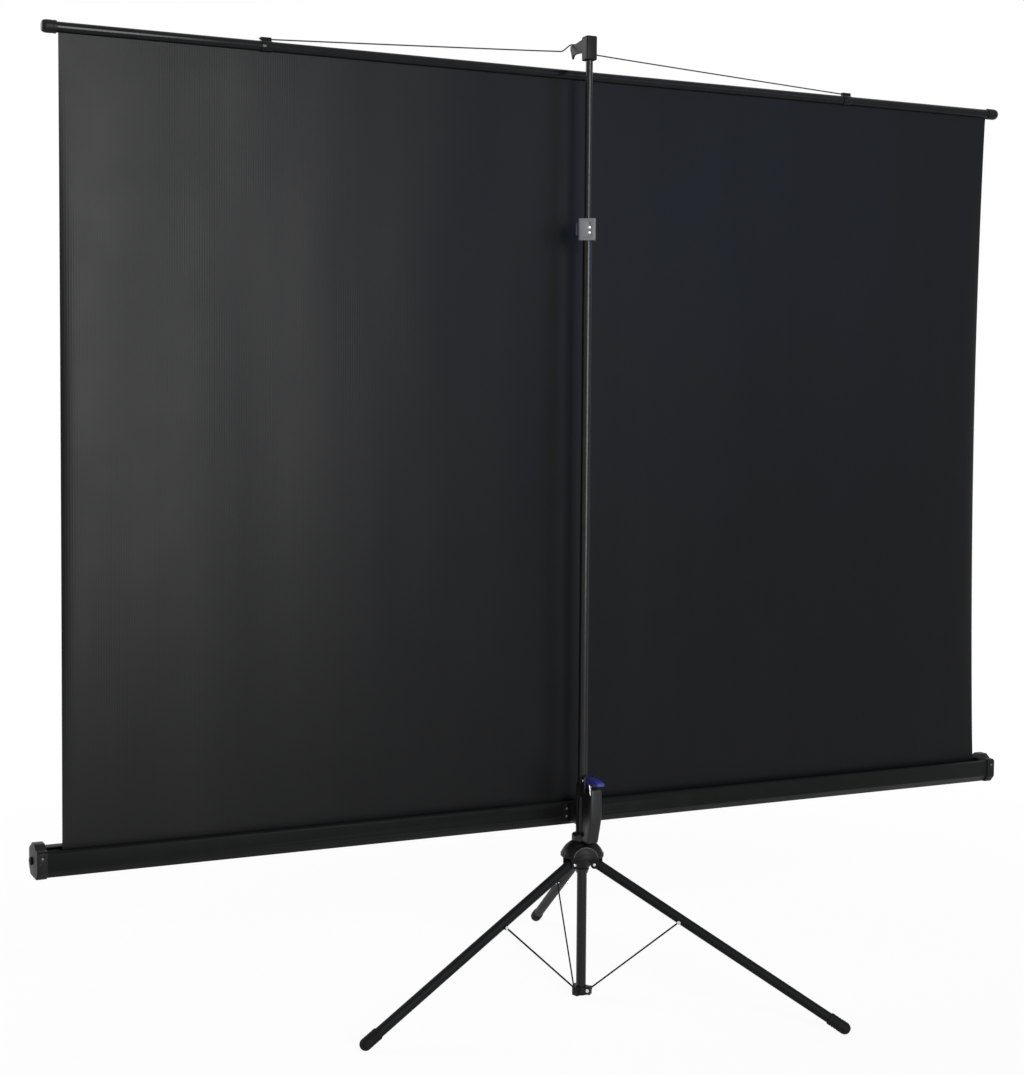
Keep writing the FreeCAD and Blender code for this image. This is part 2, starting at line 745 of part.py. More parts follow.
def case_cap(side):
    start = f"case_shift + {side} * case_half" + (" - cap_thick" if side < 0 else "")
    body = outlined(case_outline("cap_lap"), start, "cap_thick")
    across = {name: f"case_y + {share} * case_depth" for name, share in crown_shares.items()}
    middle = "case_low + case_height / 2"
    crown = outlined([
        (across["back"], middle),
        (across["back"], "case_top"),
        (across["back_top"], "case_top + cap_crown"),
        (across["front_top"], "case_top + cap_crown"),
        (across["front"], "case_top"),
        (across["front"], middle),
    ], start, "cap_thick")
    axle = rod("axle / 2 + fit_gap", "axle_seat + overrun",
               f"case_shift + {side} * case_half" + (" - axle_seat" if side < 0 else " - overrun"),
               "roll_y", "roll_z", along_x)
    screw = rod("screw / 2 + fit_gap", "cap_screw_seat + overrun",
                f"case_shift + {side} * (case_half + cap_thick / 2)",
                "case_y - cap_lap - overrun", "case_low + cap_screw_lift", along_y)
    return cut(fused(body, crown), axle, screw)


def cap_screws():
    screws = []
    for side in (-1, 1):
        x = f"case_shift + {side} * (case_half + cap_thick / 2)"
        head = rod("screw_head / 2", "screw_head_thick", x, "case_y - cap_lap - screw_head_thick",
                   "case_low + cap_screw_lift", along_y)
        shank = rod("screw / 2", "cap_screw_seat", x, "case_y - cap_lap", "case_low + cap_screw_lift",
                    along_y)
        screws.append(fused(head, shank))
    return group(*screws)


def axle_cover():
    disc = rod("cover / 2", "cover_thick", "case_shift - case_half - cap_thick - cover_thick",
               "roll_y", "roll_z", along_x)
    outer = number("case_shift - case_half - cap_thick - cover_thick")
    return rounded(disc, "cover_thick / 2", lambda edge: edge.BoundBox.XMax < outer + number("fit_gap"))


def axle_pins():
    return group(*[rod("axle / 2", "axle_length", f"case_shift + {side} * (case_half + axle_seat)"
                       + (" - axle_length" if side > 0 else ""), "roll_y", "roll_z",
                       along_x) for side in (-1, 1)])


# Roller and fabric

def roller_tube():
    half = "case_half - roller_end_room - plug_flange"
    outside = rod("roller_outer / 2", f"2 * ({half})", f"case_shift - ({half})", "roll_y", "roll_z",
                  along_x)
    inside = rod("roller_outer / 2 - roller_wall", f"2 * ({half}) + 2 * overrun",
                 f"case_shift - ({half}) - overrun",
                 "roll_y", "roll_z", along_x)
    return cut(outside, inside)


def roller_plugs():
    plugs = []
    for side in (-1, 1):
        outer = f"case_shift + {side} * (case_half - roller_end_room)"
        flange = rod("roller_outer / 2", "plug_flange", outer + (" - plug_flange" if side > 0 else ""),
                     "roll_y", "roll_z", along_x)
        spigot = rod("roller_outer / 2 - roller_wall - fit_gap", "plug_length",
                     outer + (" - plug_length" if side > 0 else ""),
                     "roll_y", "roll_z", along_x)
        bore = rod("axle / 2 + fit_gap", "2 * plug_length", outer + " - plug_length", "roll_y",
                   "roll_z", along_x)
        plugs.append(cut(fused(flange, spigot), bore))
    return group(*plugs)


def fabric_roll():
    outside = rod("roll_outer / 2", "2 * fabric_half", "screen_shift - fabric_half", "roll_y", "roll_z",
                  along_x)
    inside = rod("roller_outer / 2 + fit_gap", "2 * fabric_half + 2 * overrun",
                 "screen_shift - fabric_half - overrun",
                 "roll_y", "roll_z", along_x)
    return cut(outside, inside)


# The sheet's soft upright waves: where each begins, as a share of the width, and how deep it is
wave_shares = (0.0, 0.12, 0.27, 0.40, 0.57, 0.70, 0.86, 1.0)
depth_shares = (0.5, 0.9, 0.6, 1.0, 0.7, 0.9, 0.5)
# Levels of the hanging stretch, and how much of the wave and waist shows at each
level_shares = ((0.0, 0.0), (0.25, 0.75), (0.5, 1.0), (0.75, 0.75), (0.97, 0.0))


def sheet_section(height, share):
    """A closed wire round the sheet at one height, with its waves as shallow arcs."""
    left = number("screen_shift - fabric_half") + share * number("waist_left")
    right = number("screen_shift + fabric_half") - share * number("waist_right")
    wave = share * number("fabric_wave")
    xs = [left + (right - left) * place for place in wave_shares]
    sides = []
    for offset in (-number("fabric_thick") / 2, number("fabric_thick") / 2):
        y = number("fabric_y") + offset
        edges = []
        for i, depth in enumerate(depth_shares):
            start, end = Vector(xs[i], y, height), Vector(xs[i + 1], y, height)
            crest = Vector((xs[i] + xs[i + 1]) / 2, y + (-1) ** i * depth * wave, height)
            run = Part.Arc(start, crest, end) if wave else Part.LineSegment(start, end)
            edges.append(run.toShape())
        sides.append(edges)
    back, front = sides
    ends = [Part.LineSegment(back[i].Vertexes[j].Point, front[i].Vertexes[j].Point).toShape() for i,
            j in ((0, 0), (-1, 1))]
    return Part.Wire(Part.__sortEdges__(back + [ends[1]] + front + [ends[0]]))


def screen_fabric():
    low, high = number("case_top"), number("fabric_top")
    levels = [(number("roll_z"), 0.0)]
    levels += [(low + share * (high - low), wave) for share, wave in level_shares]
    levels.append((high, 0.0))
    sheet_body = doc.addObject("Part::Feature", "Sheet")
    sheet_body.Shape = Part.makeLoft([sheet_section(z, wave) for z, wave in levels], True, True)
    return sheet_body


# Extension, head, rail and bail

def extension_tube():
    outside = rod("ext_outer / 2", "ext_length", z="ext_low")
    inside = rod("ext_outer / 2 - ext_wall", "ext_length + 2 * overrun", z="ext_low - overrun")
    return cut(outside, inside)


def extension_shoe():
    shoe = rod("tube_bore - slide_gap", "shoe_height", z="ext_low - shoe_height")
    spigot = rod("ext_outer / 2 - ext_wall - fit_gap", "shoe_spigot", z="ext_low")
    return fused(shoe, spigot)


def head_hook():
    body = block("head_width", "head_depth", "head_height", "-head_width / 2", "-head_depth / 2",
                 "head_low")
    soft = rounded(body, "head_edge", runs_along(Vector(0, 0, 1)))
    under = "hook_top - hook_thick"
    nose = "fabric_y + hook_nose"
    arm = outlined([
        ("0", under),
        ("fabric_y - hook_nose / 2", under),
        ("fabric_y", f"{under} - hook_tip_drop"),
        (nose, f"{under} + hook_tip_drop"),
        (nose, "hook_top - hook_thick / 3"),
        ("fabric_y + hook_nose / 2", "hook_top - fit_gap"),
        ("fabric_y - hook_nose", "hook_top - fit_gap"),
        ("head_depth / 2", "head_top - fit_gap"),
        ("0", "head_top - fit_gap"),
    ], "-hook_width / 2", "hook_width")
    front = number("fabric_y")
    level = runs_along(Vector(1, 0, 0))
    beak = rounded(arm, "hook_edge", lambda edge: edge.BoundBox.YMin > front and level(edge))
    seat = rod("ext_outer / 2 + fit_gap", "ext_seat + overrun", z="head_low - overrun")
    return cut(fused(soft, beak), seat)


def top_rail():
    start = "screen_shift - rail_half"
    outside = rod("rail_outer / 2", "2 * rail_half", start, "fabric_y", "rail_z", along_x)
    inside = rod("rail_bore", "2 * rail_half + 2 * overrun", start + " - overrun", "fabric_y", "rail_z",
                 along_x)
    slot = block("2 * rail_half + 2 * overrun", "rail_slot", "rail_outer", start + " - overrun",
                 "fabric_y - rail_slot / 2", "rail_z - rail_outer")
    return cut(outside, inside, slot)


def rail_cap(side):
    end = f"screen_shift + {side} * rail_half"
    body = rod("rail_cap / 2", "rail_cap_length", end + (" - rail_cap_length" if side < 0 else ""),
               "fabric_y", "rail_z",
               along_x)
    outer = number(f"screen_shift + {side} * (rail_half + rail_cap_length)")
    soft = rounded(body, "rail_cap_round", lambda edge: isinstance(edge.Curve, Part.Circle)
                   and abs(edge.CenterOfMass.x - outer) < number("fit_gap"))
    spigot = rod("rail_bore - fit_gap", "rail_spigot", end + (" - rail_spigot" if side > 0 else ""),
                 "fabric_y", "rail_z",
                 along_x)
    return fused(soft, spigot)


def hem_rod():
    return rod("hem_rod / 2", "2 * (rail_half - rail_spigot - overrun)",
               "screen_shift - rail_half + rail_spigot + overrun",
               "fabric_y", "hem_z", along_x)


def bail_clips():
    clips = []
    for side in (-1, 1):
        start = f"screen_shift + {side} * bail_half - clip_length / 2"
        strap = rod("rail_outer / 2 + clip_wall", "clip_length", start, "fabric_y", "rail_z", along_x)
        ear = block("clip_length", "clip_width",
                    "rail_outer / 2 + bail_lift + bail_wire / 2 + clip_ear", start,
                    "fabric_y - clip_width / 2", "rail_z")
        bore = rod("rail_outer / 2 + fit_gap", "clip_length + 2 * overrun", start + " - overrun",
                   "fabric_y", "rail_z", along_x)
        mouth = block("clip_length + 2 * overrun", "clip_mouth", "rail_outer", start + " - overrun",
                      "fabric_y - clip_mouth / 2", "rail_z - 3 * rail_outer / 2")
        hole = rod("bail_wire / 2 + fit_gap", "clip_length + 2 * overrun", start + " - overrun",
                   "fabric_y", "bail_z", along_x)
        clips.append(cut(fused(strap, ear), bore, mouth, hole))
    return group(*clips)


def bail_wire():
    """The bent wire: straight runs with round corners, hinged in the clips and humped over the hook."""
    middle, y = number("screen_shift"), number("fabric_y")
    radius = number("bail_wire / 2")
    half = [("bail_half + clip_length / 2 + bail_wire", "0"),
            ("bail_half - clip_length / 2 - bail_wire", "0"),
            ("bail_kink_half", "bail_kink"), ("bail_hump_half", "bail_rise")]
    left = [Vector(middle - number(x), y, number("bail_z + " + z)) for x, z in half]
    right = [Vector(2 * middle - point.x, y, point.z) for point in reversed(left)]
    route = left + right
    bend = number("bail_bend")
    runs = []
    begin = route[0]
    for before, corner, after in zip(route, route[1:], route[2:]):
        back, ahead = (before - corner).normalize(), (after - corner).normalize()
        half_turn = back.getAngle(ahead) / 2
        middle_of = (back + ahead).normalize()
        trim = bend / math.tan(half_turn)
        crest = corner + middle_of * (bend / math.sin(half_turn) - bend)
        runs.append(Part.LineSegment(begin, corner + back * trim).toShape())
        runs.append(Part.Arc(corner + back * trim, crest, corner + ahead * trim).toShape())
        begin = corner + ahead * trim
    runs.append(Part.LineSegment(begin, route[-1]).toShape())
    ring = Part.Wire(Part.makeCircle(radius, route[0], route[1] - route[0]))
    wire = doc.addObject("Part::Feature", "Wire")
    wire.Shape = Part.Wire(runs).makePipeShell([ring], True, False)
    return wire


builders = (
    main_tube, base_collar, collar_rivets, hub_stop, lock_block, lock_rivets, guide_bush, lock_button,
    leg_hub, leg_pivot_pins,
    carriage_body, clamp_lever, lever_pin, lever_stop_pin, case_bracket, bracket_screws, pivot_bolt,
    case_shell, cap_screws, axle_cover, axle_pins, roller_tube, roller_plugs, fabric_roll, screen_fabric,
    extension_tube, extension_shoe, head_hook, top_rail, hem_rod, bail_clips, bail_wire,
)
for builder in builders:
    node(builder.__name__, builder())
for builder, name in ((leg_tube, "leg"), (foot, "foot"), (stay_rivet, "stay_rivet"), (stay, "stay")):
    piece = builder()
    for place, angle in leg_angles.items():
        node(f"{name}_{place}", swung(piece, angle))
for side, place in ((-1, "left"), (1, "right")):
    node(f"case_cap_{place}", case_cap(side))
    node(f"rail_cap_{place}", rail_cap(side))
doc.recompute()

failed = [thing.Label for thing in doc.Objects if {"Invalid", "Error"} & set(thing.State)]
failed += [label for label, piece in nodes.items() if piece.Shape.isNull() or not piece.Shape.isValid()]
if failed:
    raise RuntimeError("not built: " + ", ".join(failed))
os.makedirs("parts", exist_ok=True)
for label, piece in nodes.items():
    piece.Shape.exportStep(f"parts/{label}.step")
    print(label, len(piece.Shape.Solids), "solids", round(piece.Shape.Volume), "mm3")
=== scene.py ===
import bpy
import json
import math
from mathutils import Matrix, Vector

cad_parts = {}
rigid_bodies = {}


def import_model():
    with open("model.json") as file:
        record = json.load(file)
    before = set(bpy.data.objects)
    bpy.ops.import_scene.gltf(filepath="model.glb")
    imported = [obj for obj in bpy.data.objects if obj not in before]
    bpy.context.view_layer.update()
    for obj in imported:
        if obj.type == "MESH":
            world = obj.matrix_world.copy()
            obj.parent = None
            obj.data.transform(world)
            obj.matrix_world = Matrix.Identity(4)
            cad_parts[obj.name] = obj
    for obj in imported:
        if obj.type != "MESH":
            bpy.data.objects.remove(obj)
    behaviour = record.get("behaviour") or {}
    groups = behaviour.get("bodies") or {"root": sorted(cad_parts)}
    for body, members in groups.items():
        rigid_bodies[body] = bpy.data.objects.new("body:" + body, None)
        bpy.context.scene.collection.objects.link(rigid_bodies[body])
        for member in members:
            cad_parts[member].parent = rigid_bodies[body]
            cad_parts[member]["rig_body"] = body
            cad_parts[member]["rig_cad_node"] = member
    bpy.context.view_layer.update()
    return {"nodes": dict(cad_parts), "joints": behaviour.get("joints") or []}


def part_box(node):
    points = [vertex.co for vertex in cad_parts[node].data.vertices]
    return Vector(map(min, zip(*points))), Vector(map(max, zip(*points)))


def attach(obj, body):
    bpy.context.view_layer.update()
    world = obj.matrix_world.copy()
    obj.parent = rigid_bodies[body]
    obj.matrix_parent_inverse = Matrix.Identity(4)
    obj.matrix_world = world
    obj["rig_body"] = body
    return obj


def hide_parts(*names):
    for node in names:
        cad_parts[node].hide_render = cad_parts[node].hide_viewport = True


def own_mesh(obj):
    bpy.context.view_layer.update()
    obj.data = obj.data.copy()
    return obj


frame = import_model()
nodes = frame["nodes"]
scene = bpy.context.scene
print("frame loaded:", len(nodes), "nodes")


# Small helpers for modelling

mergeReach = 1e-6
cadMergeReach = 1e-5   # the CAD meshes are loose triangles


def pick(piece):
    bpy.ops.object.select_all(action="DESELECT")
    piece.hide_set(False)
    piece.select_set(True)
    bpy.context.view_layer.objects.active = piece


def inEdit(piece, *steps):
    pick(piece)
    bpy.ops.object.mode_set(mode="EDIT")
    for step in steps:
        bpy.ops.mesh.select_all(action="SELECT")
        step()
    bpy.ops.object.mode_set(mode="OBJECT")


def settle(piece):
    pick(piece)
    bpy.ops.object.transform_apply(location=True, rotation=True, scale=True)
    return piece


def tidyMesh(piece):
    inEdit(piece, lambda: bpy.ops.mesh.remove_doubles(threshold=mergeReach),
           lambda: bpy.ops.mesh.normals_make_consistent(inside=False))
    return piece


def useModifier(piece, kind, **values):
    pick(piece)
    made = piece.modifiers.new(kind.title(), kind)
    for name, value in values.items():
        setattr(made, name, value)
    bpy.ops.object.modifier_apply(modifier=made.name)


def smoothShade(piece, angle=32):
    pick(piece)
    bpy.ops.object.shade_smooth_by_angle(angle=math.radians(angle))
    return piece


def softEdges(piece, width, segments=3, angle=35):
    useModifier(piece, "BEVEL", width=width, segments=segments, limit_method="ANGLE",
                angle_limit=math.radians(angle), harden_normals=False)
    return smoothShade(piece)


def joined(*pieces):
    pick(pieces[0])
    for piece in pieces:
        piece.select_set(True)
    bpy.ops.object.join()
    return pieces[0]


def fresh():
    return bpy.context.view_layer.objects.active


def middleOf(node):
    low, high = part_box(node)
    return [(start + end) / 2 for start, end in zip(low, high)]


def jointNamed(name):
    return next(entry for entry in frame["joints"] if entry["name"] == name)


def boxFrom(low, high):
    low, high = Vector(low), Vector(high)
    bpy.ops.mesh.primitive_cube_add(size=1, location=(low + high) / 2)
    piece = fresh()
    piece.scale = high - low
    return settle(piece)


def outlineSolid(points, left, right):
    # a flat outline of (y, z) points, pulled along X
    bpy.ops.mesh.primitive_circle_add(vertices=len(points), fill_type="NGON")
    piece = fresh()
    for vertex, (y, z) in zip(piece.data.vertices, points):
        vertex.co = (left, y, z)
    inEdit(piece, lambda: bpy.ops.mesh.extrude_region_move(
        TRANSFORM_OT_translate={"value": (right - left, 0, 0)}))
    return tidyMesh(piece)


def openLine(piece):
    # takes the edge that closes a ring of points away
    last = {0, len(piece.data.vertices) - 1}
    for part in (piece.data.vertices, piece.data.edges):
        for entry in part:
            entry.select = False
    for edge in piece.data.edges:
        edge.select = set(edge.vertices) == last
    pick(piece)
    bpy.ops.object.mode_set(mode="EDIT")
    bpy.ops.mesh.select_mode(type="EDGE")
    bpy.ops.mesh.delete(type="EDGE_FACE")
    bpy.ops.mesh.select_mode(type="VERT")
    bpy.ops.object.mode_set(mode="OBJECT")


def turnedSolid(profile, base, direction, steps=64, sweep=360, begin=0, ring=False):
    # a line of (radius, height) points, turned round its own axis and laid along a direction
    bpy.ops.mesh.primitive_circle_add(vertices=len(profile), fill_type="NOTHING")
    piece = fresh()
    for vertex, (radius, height) in zip(piece.data.vertices, profile):
        vertex.co = (radius, 0, height)
    if not ring:
        openLine(piece)
    useModifier(piece, "SCREW", angle=math.radians(sweep), steps=steps, render_steps=steps,
                use_merge_vertices=sweep == 360, merge_threshold=mergeReach, use_smooth_shade=True)
    if sweep < 360:
        inEdit(piece, lambda: bpy.ops.mesh.fill_holes(sides=0))
    tidyMesh(piece)
    turn = Vector(direction).to_track_quat("Z", "Y").to_matrix().to_4x4()
    spin = Matrix.Rotation(math.radians(begin), 4, "Z")
    piece.matrix_world = Matrix.Translation(Vector(base)) @ turn @ spin
    settle(piece)
    return smoothShade(piece)


dome = {"sunk": 0.0002, "foot": 0.94, "steps": 32,
        # shares of the radius and the height, from the rim to the crown
        "shares": ((1, 0.15), (1, 0.45), (0.93, 0.68), (0.74, 0.87), (0.42, 0.97), (0, 1))}


def domedPin(base, direction, radius, height):
    # a low domed head, a little sunk where it sits
    profile = [(0, -dome["sunk"]), (radius * dome["foot"], -dome["sunk"])]
    profile += [(radius * wide, height * tall) for wide, tall in dome["shares"]]
    return turnedSolid(profile, base, direction, dome["steps"])


def merged(piece, *others):
    for other in others:
        useModifier(piece, "BOOLEAN", operation="UNION", solver="EXACT", object=other)
        bpy.data.objects.remove(other)
    smoothShade(piece)


def carved(piece, *tools):
    for tool in tools:
        useModifier(piece, "BOOLEAN", operation="DIFFERENCE", solver="EXACT", object=tool)
        bpy.data.objects.remove(tool)
    return piece


def cadCopy(node, flat=0.5):
    # a merged copy of a CAD node, to be given soft edges
    piece = nodes[node].copy()
    piece.data = nodes[node].data.copy()
    piece.parent = None
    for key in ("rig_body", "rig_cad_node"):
        if key in piece:
            del piece[key]
    scene.collection.objects.link(piece)
    inEdit(piece, lambda: bpy.ops.mesh.remove_doubles(threshold=cadMergeReach),
           lambda: (bpy.ops.mesh.customdata_custom_splitnormals_clear()
                    if piece.data.has_custom_normals else None),
           lambda: bpy.ops.mesh.dissolve_limited(angle_limit=math.radians(flat)))
    return piece


def copyOf(piece, move):
    twin = piece.copy()
    twin.data = piece.data.copy()
    scene.collection.objects.link(twin)
    twin.location = Vector(move)
    return settle(twin)


def place(piece, name, body, finish, slot, *replaced):
    piece.name = name
    piece.data.name = name
    piece.data.materials.clear()
    piece.data.materials.append(finishes[finish])
    for face in piece.data.polygons:
        face.material_index = 0
    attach(piece, body)
    if replaced:
        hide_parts(*replaced)


# Small helpers for shaders

def newMaterial(name, specular):
    material = bpy.data.materials.new(name)
    material.use_nodes = True
    tree = material.node_tree
    shader = tree.nodes["Principled BSDF"]
    shader.inputs["Specular IOR Level"].default_value = specular
    return material, tree, shader


def addGroup(tree, group, values):
    made = tree.nodes.new("ShaderNodeGroup")
    made.node_tree = group
    for label, value in values.items():
        made.inputs[label].default_value = value
    return made.outputs


def maths(group, operation, first, second):
    made = group.nodes.new("ShaderNodeMath")
    made.operation = operation
    for socket, value in zip(made.inputs, (first, second)):
        if isinstance(value, (int, float)):
            socket.default_value = value
        else:
            group.links.new(value, socket)
    return made.outputs[0]


def ranged(group, value, low, high, span=(0.3, 0.7)):
    made = group.nodes.new("ShaderNodeMapRange")
    made.inputs["From Min"].default_value, made.inputs["From Max"].default_value = span
    group.links.new(value, made.inputs["Value"])
    for label, limit in (("To Min", low), ("To Max", high)):
        if isinstance(limit, (int, float)):
            made.inputs[label].default_value = limit
        else:
            group.links.new(limit, made.inputs[label])
    return made.outputs[0]


def shaded(tree, color, shade):
    # a colour multiplied by a varying shade
    mix = tree.nodes.new("ShaderNodeVectorMath")
    mix.operation = "SCALE"
    mix.inputs[0].default_value = color
    tree.links.new(shade, mix.inputs["Scale"])
    return mix.outputs[0]


def bumped(tree, height, strength, distance, under=None):
    bump = tree.nodes.new("ShaderNodeBump")
    bump.inputs["Strength"].default_value = strength
    bump.inputs["Distance"].default_value = distance
    tree.links.new(height, bump.inputs["Height"])
    if under is not None:
        tree.links.new(under, bump.inputs["Normal"])
    return bump.outputs[0]


def objectNoise(group, scale, detail, source=None, stretch=(1, 1, 1), lean=0):
    coords = group.nodes.new("ShaderNodeTexCoord")
    mapping = group.nodes.new("ShaderNodeMapping")
    mapping.inputs["Rotation"].default_value = (0, math.radians(lean), 0)
    mapping.inputs["Scale"].default_value = stretch
    group.links.new(coords.outputs["Object"], mapping.inputs["Vector"])
    noise = group.nodes.new("ShaderNodeTexNoise")
    noise.inputs["Detail"].default_value = detail
    noise.inputs["Scale"].default_value = scale
    if source is not None:
        group.links.new(source, noise.inputs["Scale"])
    group.links.new(mapping.outputs["Vector"], noise.inputs["Vector"])
    return noise.outputs["Fac"]


# Camera, at the photograph's place

view = {"place": (-1.6610, -2.9353, 1.1258), "yaw": 24.2116, "pitch": -2.7526, "roll": 0.2693,
        "focal": 1764.92, "centre": (422.06, 496.02), "image": (1024, 1075), "sensor": 36, "farthest": 100}


def addCamera():
    yaw, pitch, roll = (math.radians(view[key]) for key in ("yaw", "pitch", "roll"))
    ahead = Vector((math.sin(yaw) * math.cos(pitch), math.cos(yaw) * math.cos(pitch), math.sin(pitch)))
    side = Vector((math.cos(yaw), -math.sin(yaw), 0))
    up = side.cross(ahead)
    right = math.cos(roll) * side + math.sin(roll) * up
    top = math.cos(roll) * up - math.sin(roll) * side
    data = bpy.data.cameras.new("camera")
    camera = bpy.data.objects.new("camera", data)
    scene.collection.objects.link(camera)
    turn = Matrix((right, top, -ahead)).transposed().to_4x4()
    camera.matrix_world = Matrix.Translation(Vector(view["place"])) @ turn
    wide, tall = view["image"]
    data.sensor_width = view["sensor"]
    data.lens = view["focal"] / tall * data.sensor_width
    data.shift_x = (wide / 2 - view["centre"][0]) / tall
    data.shift_y = (view["centre"][1] - tall / 2) / tall
    data.clip_end = view["farthest"]
    scene.camera = camera


addCamera()


# Light, floor and backdrop

light = {
    "key": {"place": (-0.15, -4.3, 1.75), "aim": (-0.2, 0.0, 1.1), "size": (1.2, 2.9), "power": 218,
            "color": (1, 1, 1)},
    "fill": {"place": (2.95, -4.3, 2.1), "aim": (0.3, 0.0, 1.3), "size": (1.5, 1.5), "power": 25,
             "color": (0.16, 0.42, 1)},
    "front": {"place": (-3.4, 3.8, 2.6), "aim": (0.0, 0.0, 1.0), "size": (2.6, 2.6), "power": 150,
              "color": (1, 1, 1)},
}
stage = {"world": 0.22, "floor": 0.86, "rough": 0.9, "specular": 0.1, "wide": 60, "drop": 0.0006,
         "nearWhite": 0.94, "whitens": (0.9, 2.6)}


def addLamp(name, values):
    data = bpy.data.lights.new(name, "AREA")
    data.energy = values["power"]
    data.shape = "RECTANGLE"
    data.size, data.size_y = values["size"]
    data.color = values["color"]
    lamp = bpy.data.objects.new(name, data)
    scene.collection.objects.link(lamp)
    lamp.location = values["place"]
    lamp.rotation_euler = (Vector(values["aim"]) - lamp.location).to_track_quat("-Z", "Y").to_euler()


def brightToCamera(tree, lit, shader):
    # white where it is looked at or mirrored, its own level as a source of light
    rays = tree.nodes.new("ShaderNodeLightPath")
    seen = rays.outputs["Is Camera Ray"]
    for label in ("Is Glossy Ray", "Is Transmission Ray"):
        seen = maths(tree, "MAXIMUM", seen, rays.outputs[label])
    mix = tree.nodes.new("ShaderNodeMixShader")
    tree.links.new(seen, mix.inputs[0])
    tree.links.new(lit, mix.inputs[1])
    tree.links.new(shader, mix.inputs[2])
    return mix.outputs[0]


def addWorld():
    world = bpy.data.worlds.new("studio")
    scene.world = world
    world.use_nodes = True
    tree = world.node_tree
    tree.nodes.clear()
    ends = []
    for level in (stage["world"], 1.0):
        glow = tree.nodes.new("ShaderNodeBackground")
        glow.inputs["Color"].default_value = (1, 1, 1, 1)
        glow.inputs["Strength"].default_value = level
        ends.append(glow.outputs[0])
    out = tree.nodes.new("ShaderNodeOutputWorld")
    tree.links.new(brightToCamera(tree, *ends), out.inputs[0])


def addFloor():
    bpy.ops.mesh.primitive_plane_add(size=stage["wide"], location=(0, 0, -stage["drop"]))
    floor = settle(fresh())
    floor.name = "floor"
    paint, tree, shader = newMaterial("paleFloor", stage["specular"])
    shader.inputs["Base Color"].default_value = (stage["floor"],) * 3 + (1,)
    shader.inputs["Roughness"].default_value = stage["rough"]
    # it whitens away from the object, so that no horizon shows
    coords = tree.nodes.new("ShaderNodeTexCoord")
    reach = tree.nodes.new("ShaderNodeVectorMath")
    reach.operation = "LENGTH"
    tree.links.new(coords.outputs["Object"], reach.inputs[0])
    whiteness = ranged(tree, reach.outputs["Value"], stage["nearWhite"], 1.0, stage["whitens"])
    glow = tree.nodes.new("ShaderNodeEmission")
    blend = tree.nodes.new("ShaderNodeMixShader")
    tree.links.new(whiteness, blend.inputs[0])
    tree.links.new(shader.outputs[0], blend.inputs[1])
    tree.links.new(glow.outputs[0], blend.inputs[2])
    shown = brightToCamera(tree, shader.outputs[0], blend.outputs[0])
    tree.links.new(shown, tree.nodes["Material Output"].inputs[0])
    floor.data.materials.append(paint)


addWorld()
addFloor()
for lampName, lampValues in light.items():
    addLamp(lampName + "Lamp", lampValues)
scene.view_settings.view_transform = "Standard"
print("camera and stage set")


# Shader groups shared by the finishes

# scale and detail of the noises in a moulded or painted skin
grainNoise = {"fine": (900, 2), "broad": (9, 4), "mottled": (34, 5)}
# the backing's ribs in metres, and scale, detail and upright stretch of its noises; the rib grooves get
# painted shade
weave = {"pitch": 0.0045, "thread": 0.0011, "threadShare": 0.18, "wander": 0.004, "strength": (0.25, 1.0),
         "streaks": (0.9, 1.1), "paintedRibShade": 0.06,
         "bending": (5, 3, 0.15), "breaking": (16, 3, 0.25), "streaking": (60, 4, 0.02)}


def newGroup(name, inputs, outputs):
    group = bpy.data.node_groups.new(name, "ShaderNodeTree")
    for label, value in inputs:
        socket = group.interface.new_socket(label, in_out="INPUT", socket_type="NodeSocketFloat")
        socket.default_value = value
    for label in outputs:
        group.interface.new_socket(label, in_out="OUTPUT", socket_type="NodeSocketFloat")
    start = group.nodes.new("NodeGroupInput")
    end = group.nodes.new("NodeGroupOutput")
    return group, start.outputs, end.inputs


def grainGroup():
    # fine speckle for moulded and painted skins: a height, a roughness and a shade that vary
    usual = [("Grain Scale", grainNoise["fine"][0]), ("Rough Low", 0.4), ("Rough High", 0.55),
             ("Shade Low", 0.85), ("Shade High", 1.15)]
    group, start, end = newGroup("skinGrain", usual, ("Height", "Roughness", "Shade"))
    fine = objectNoise(group, *grainNoise["fine"], start["Grain Scale"])
    broad = objectNoise(group, *grainNoise["broad"])
    mottled = objectNoise(group, *grainNoise["mottled"])
    group.links.new(fine, end["Height"])
    group.links.new(ranged(group, broad, start["Rough Low"], start["Rough High"]), end["Roughness"])
    group.links.new(ranged(group, mottled, start["Shade Low"], start["Shade High"]), end["Shade"])
    return group


def uprightNoise(group, scale, detail, stretch):
    return objectNoise(group, scale, detail, stretch=(1, 1, stretch))


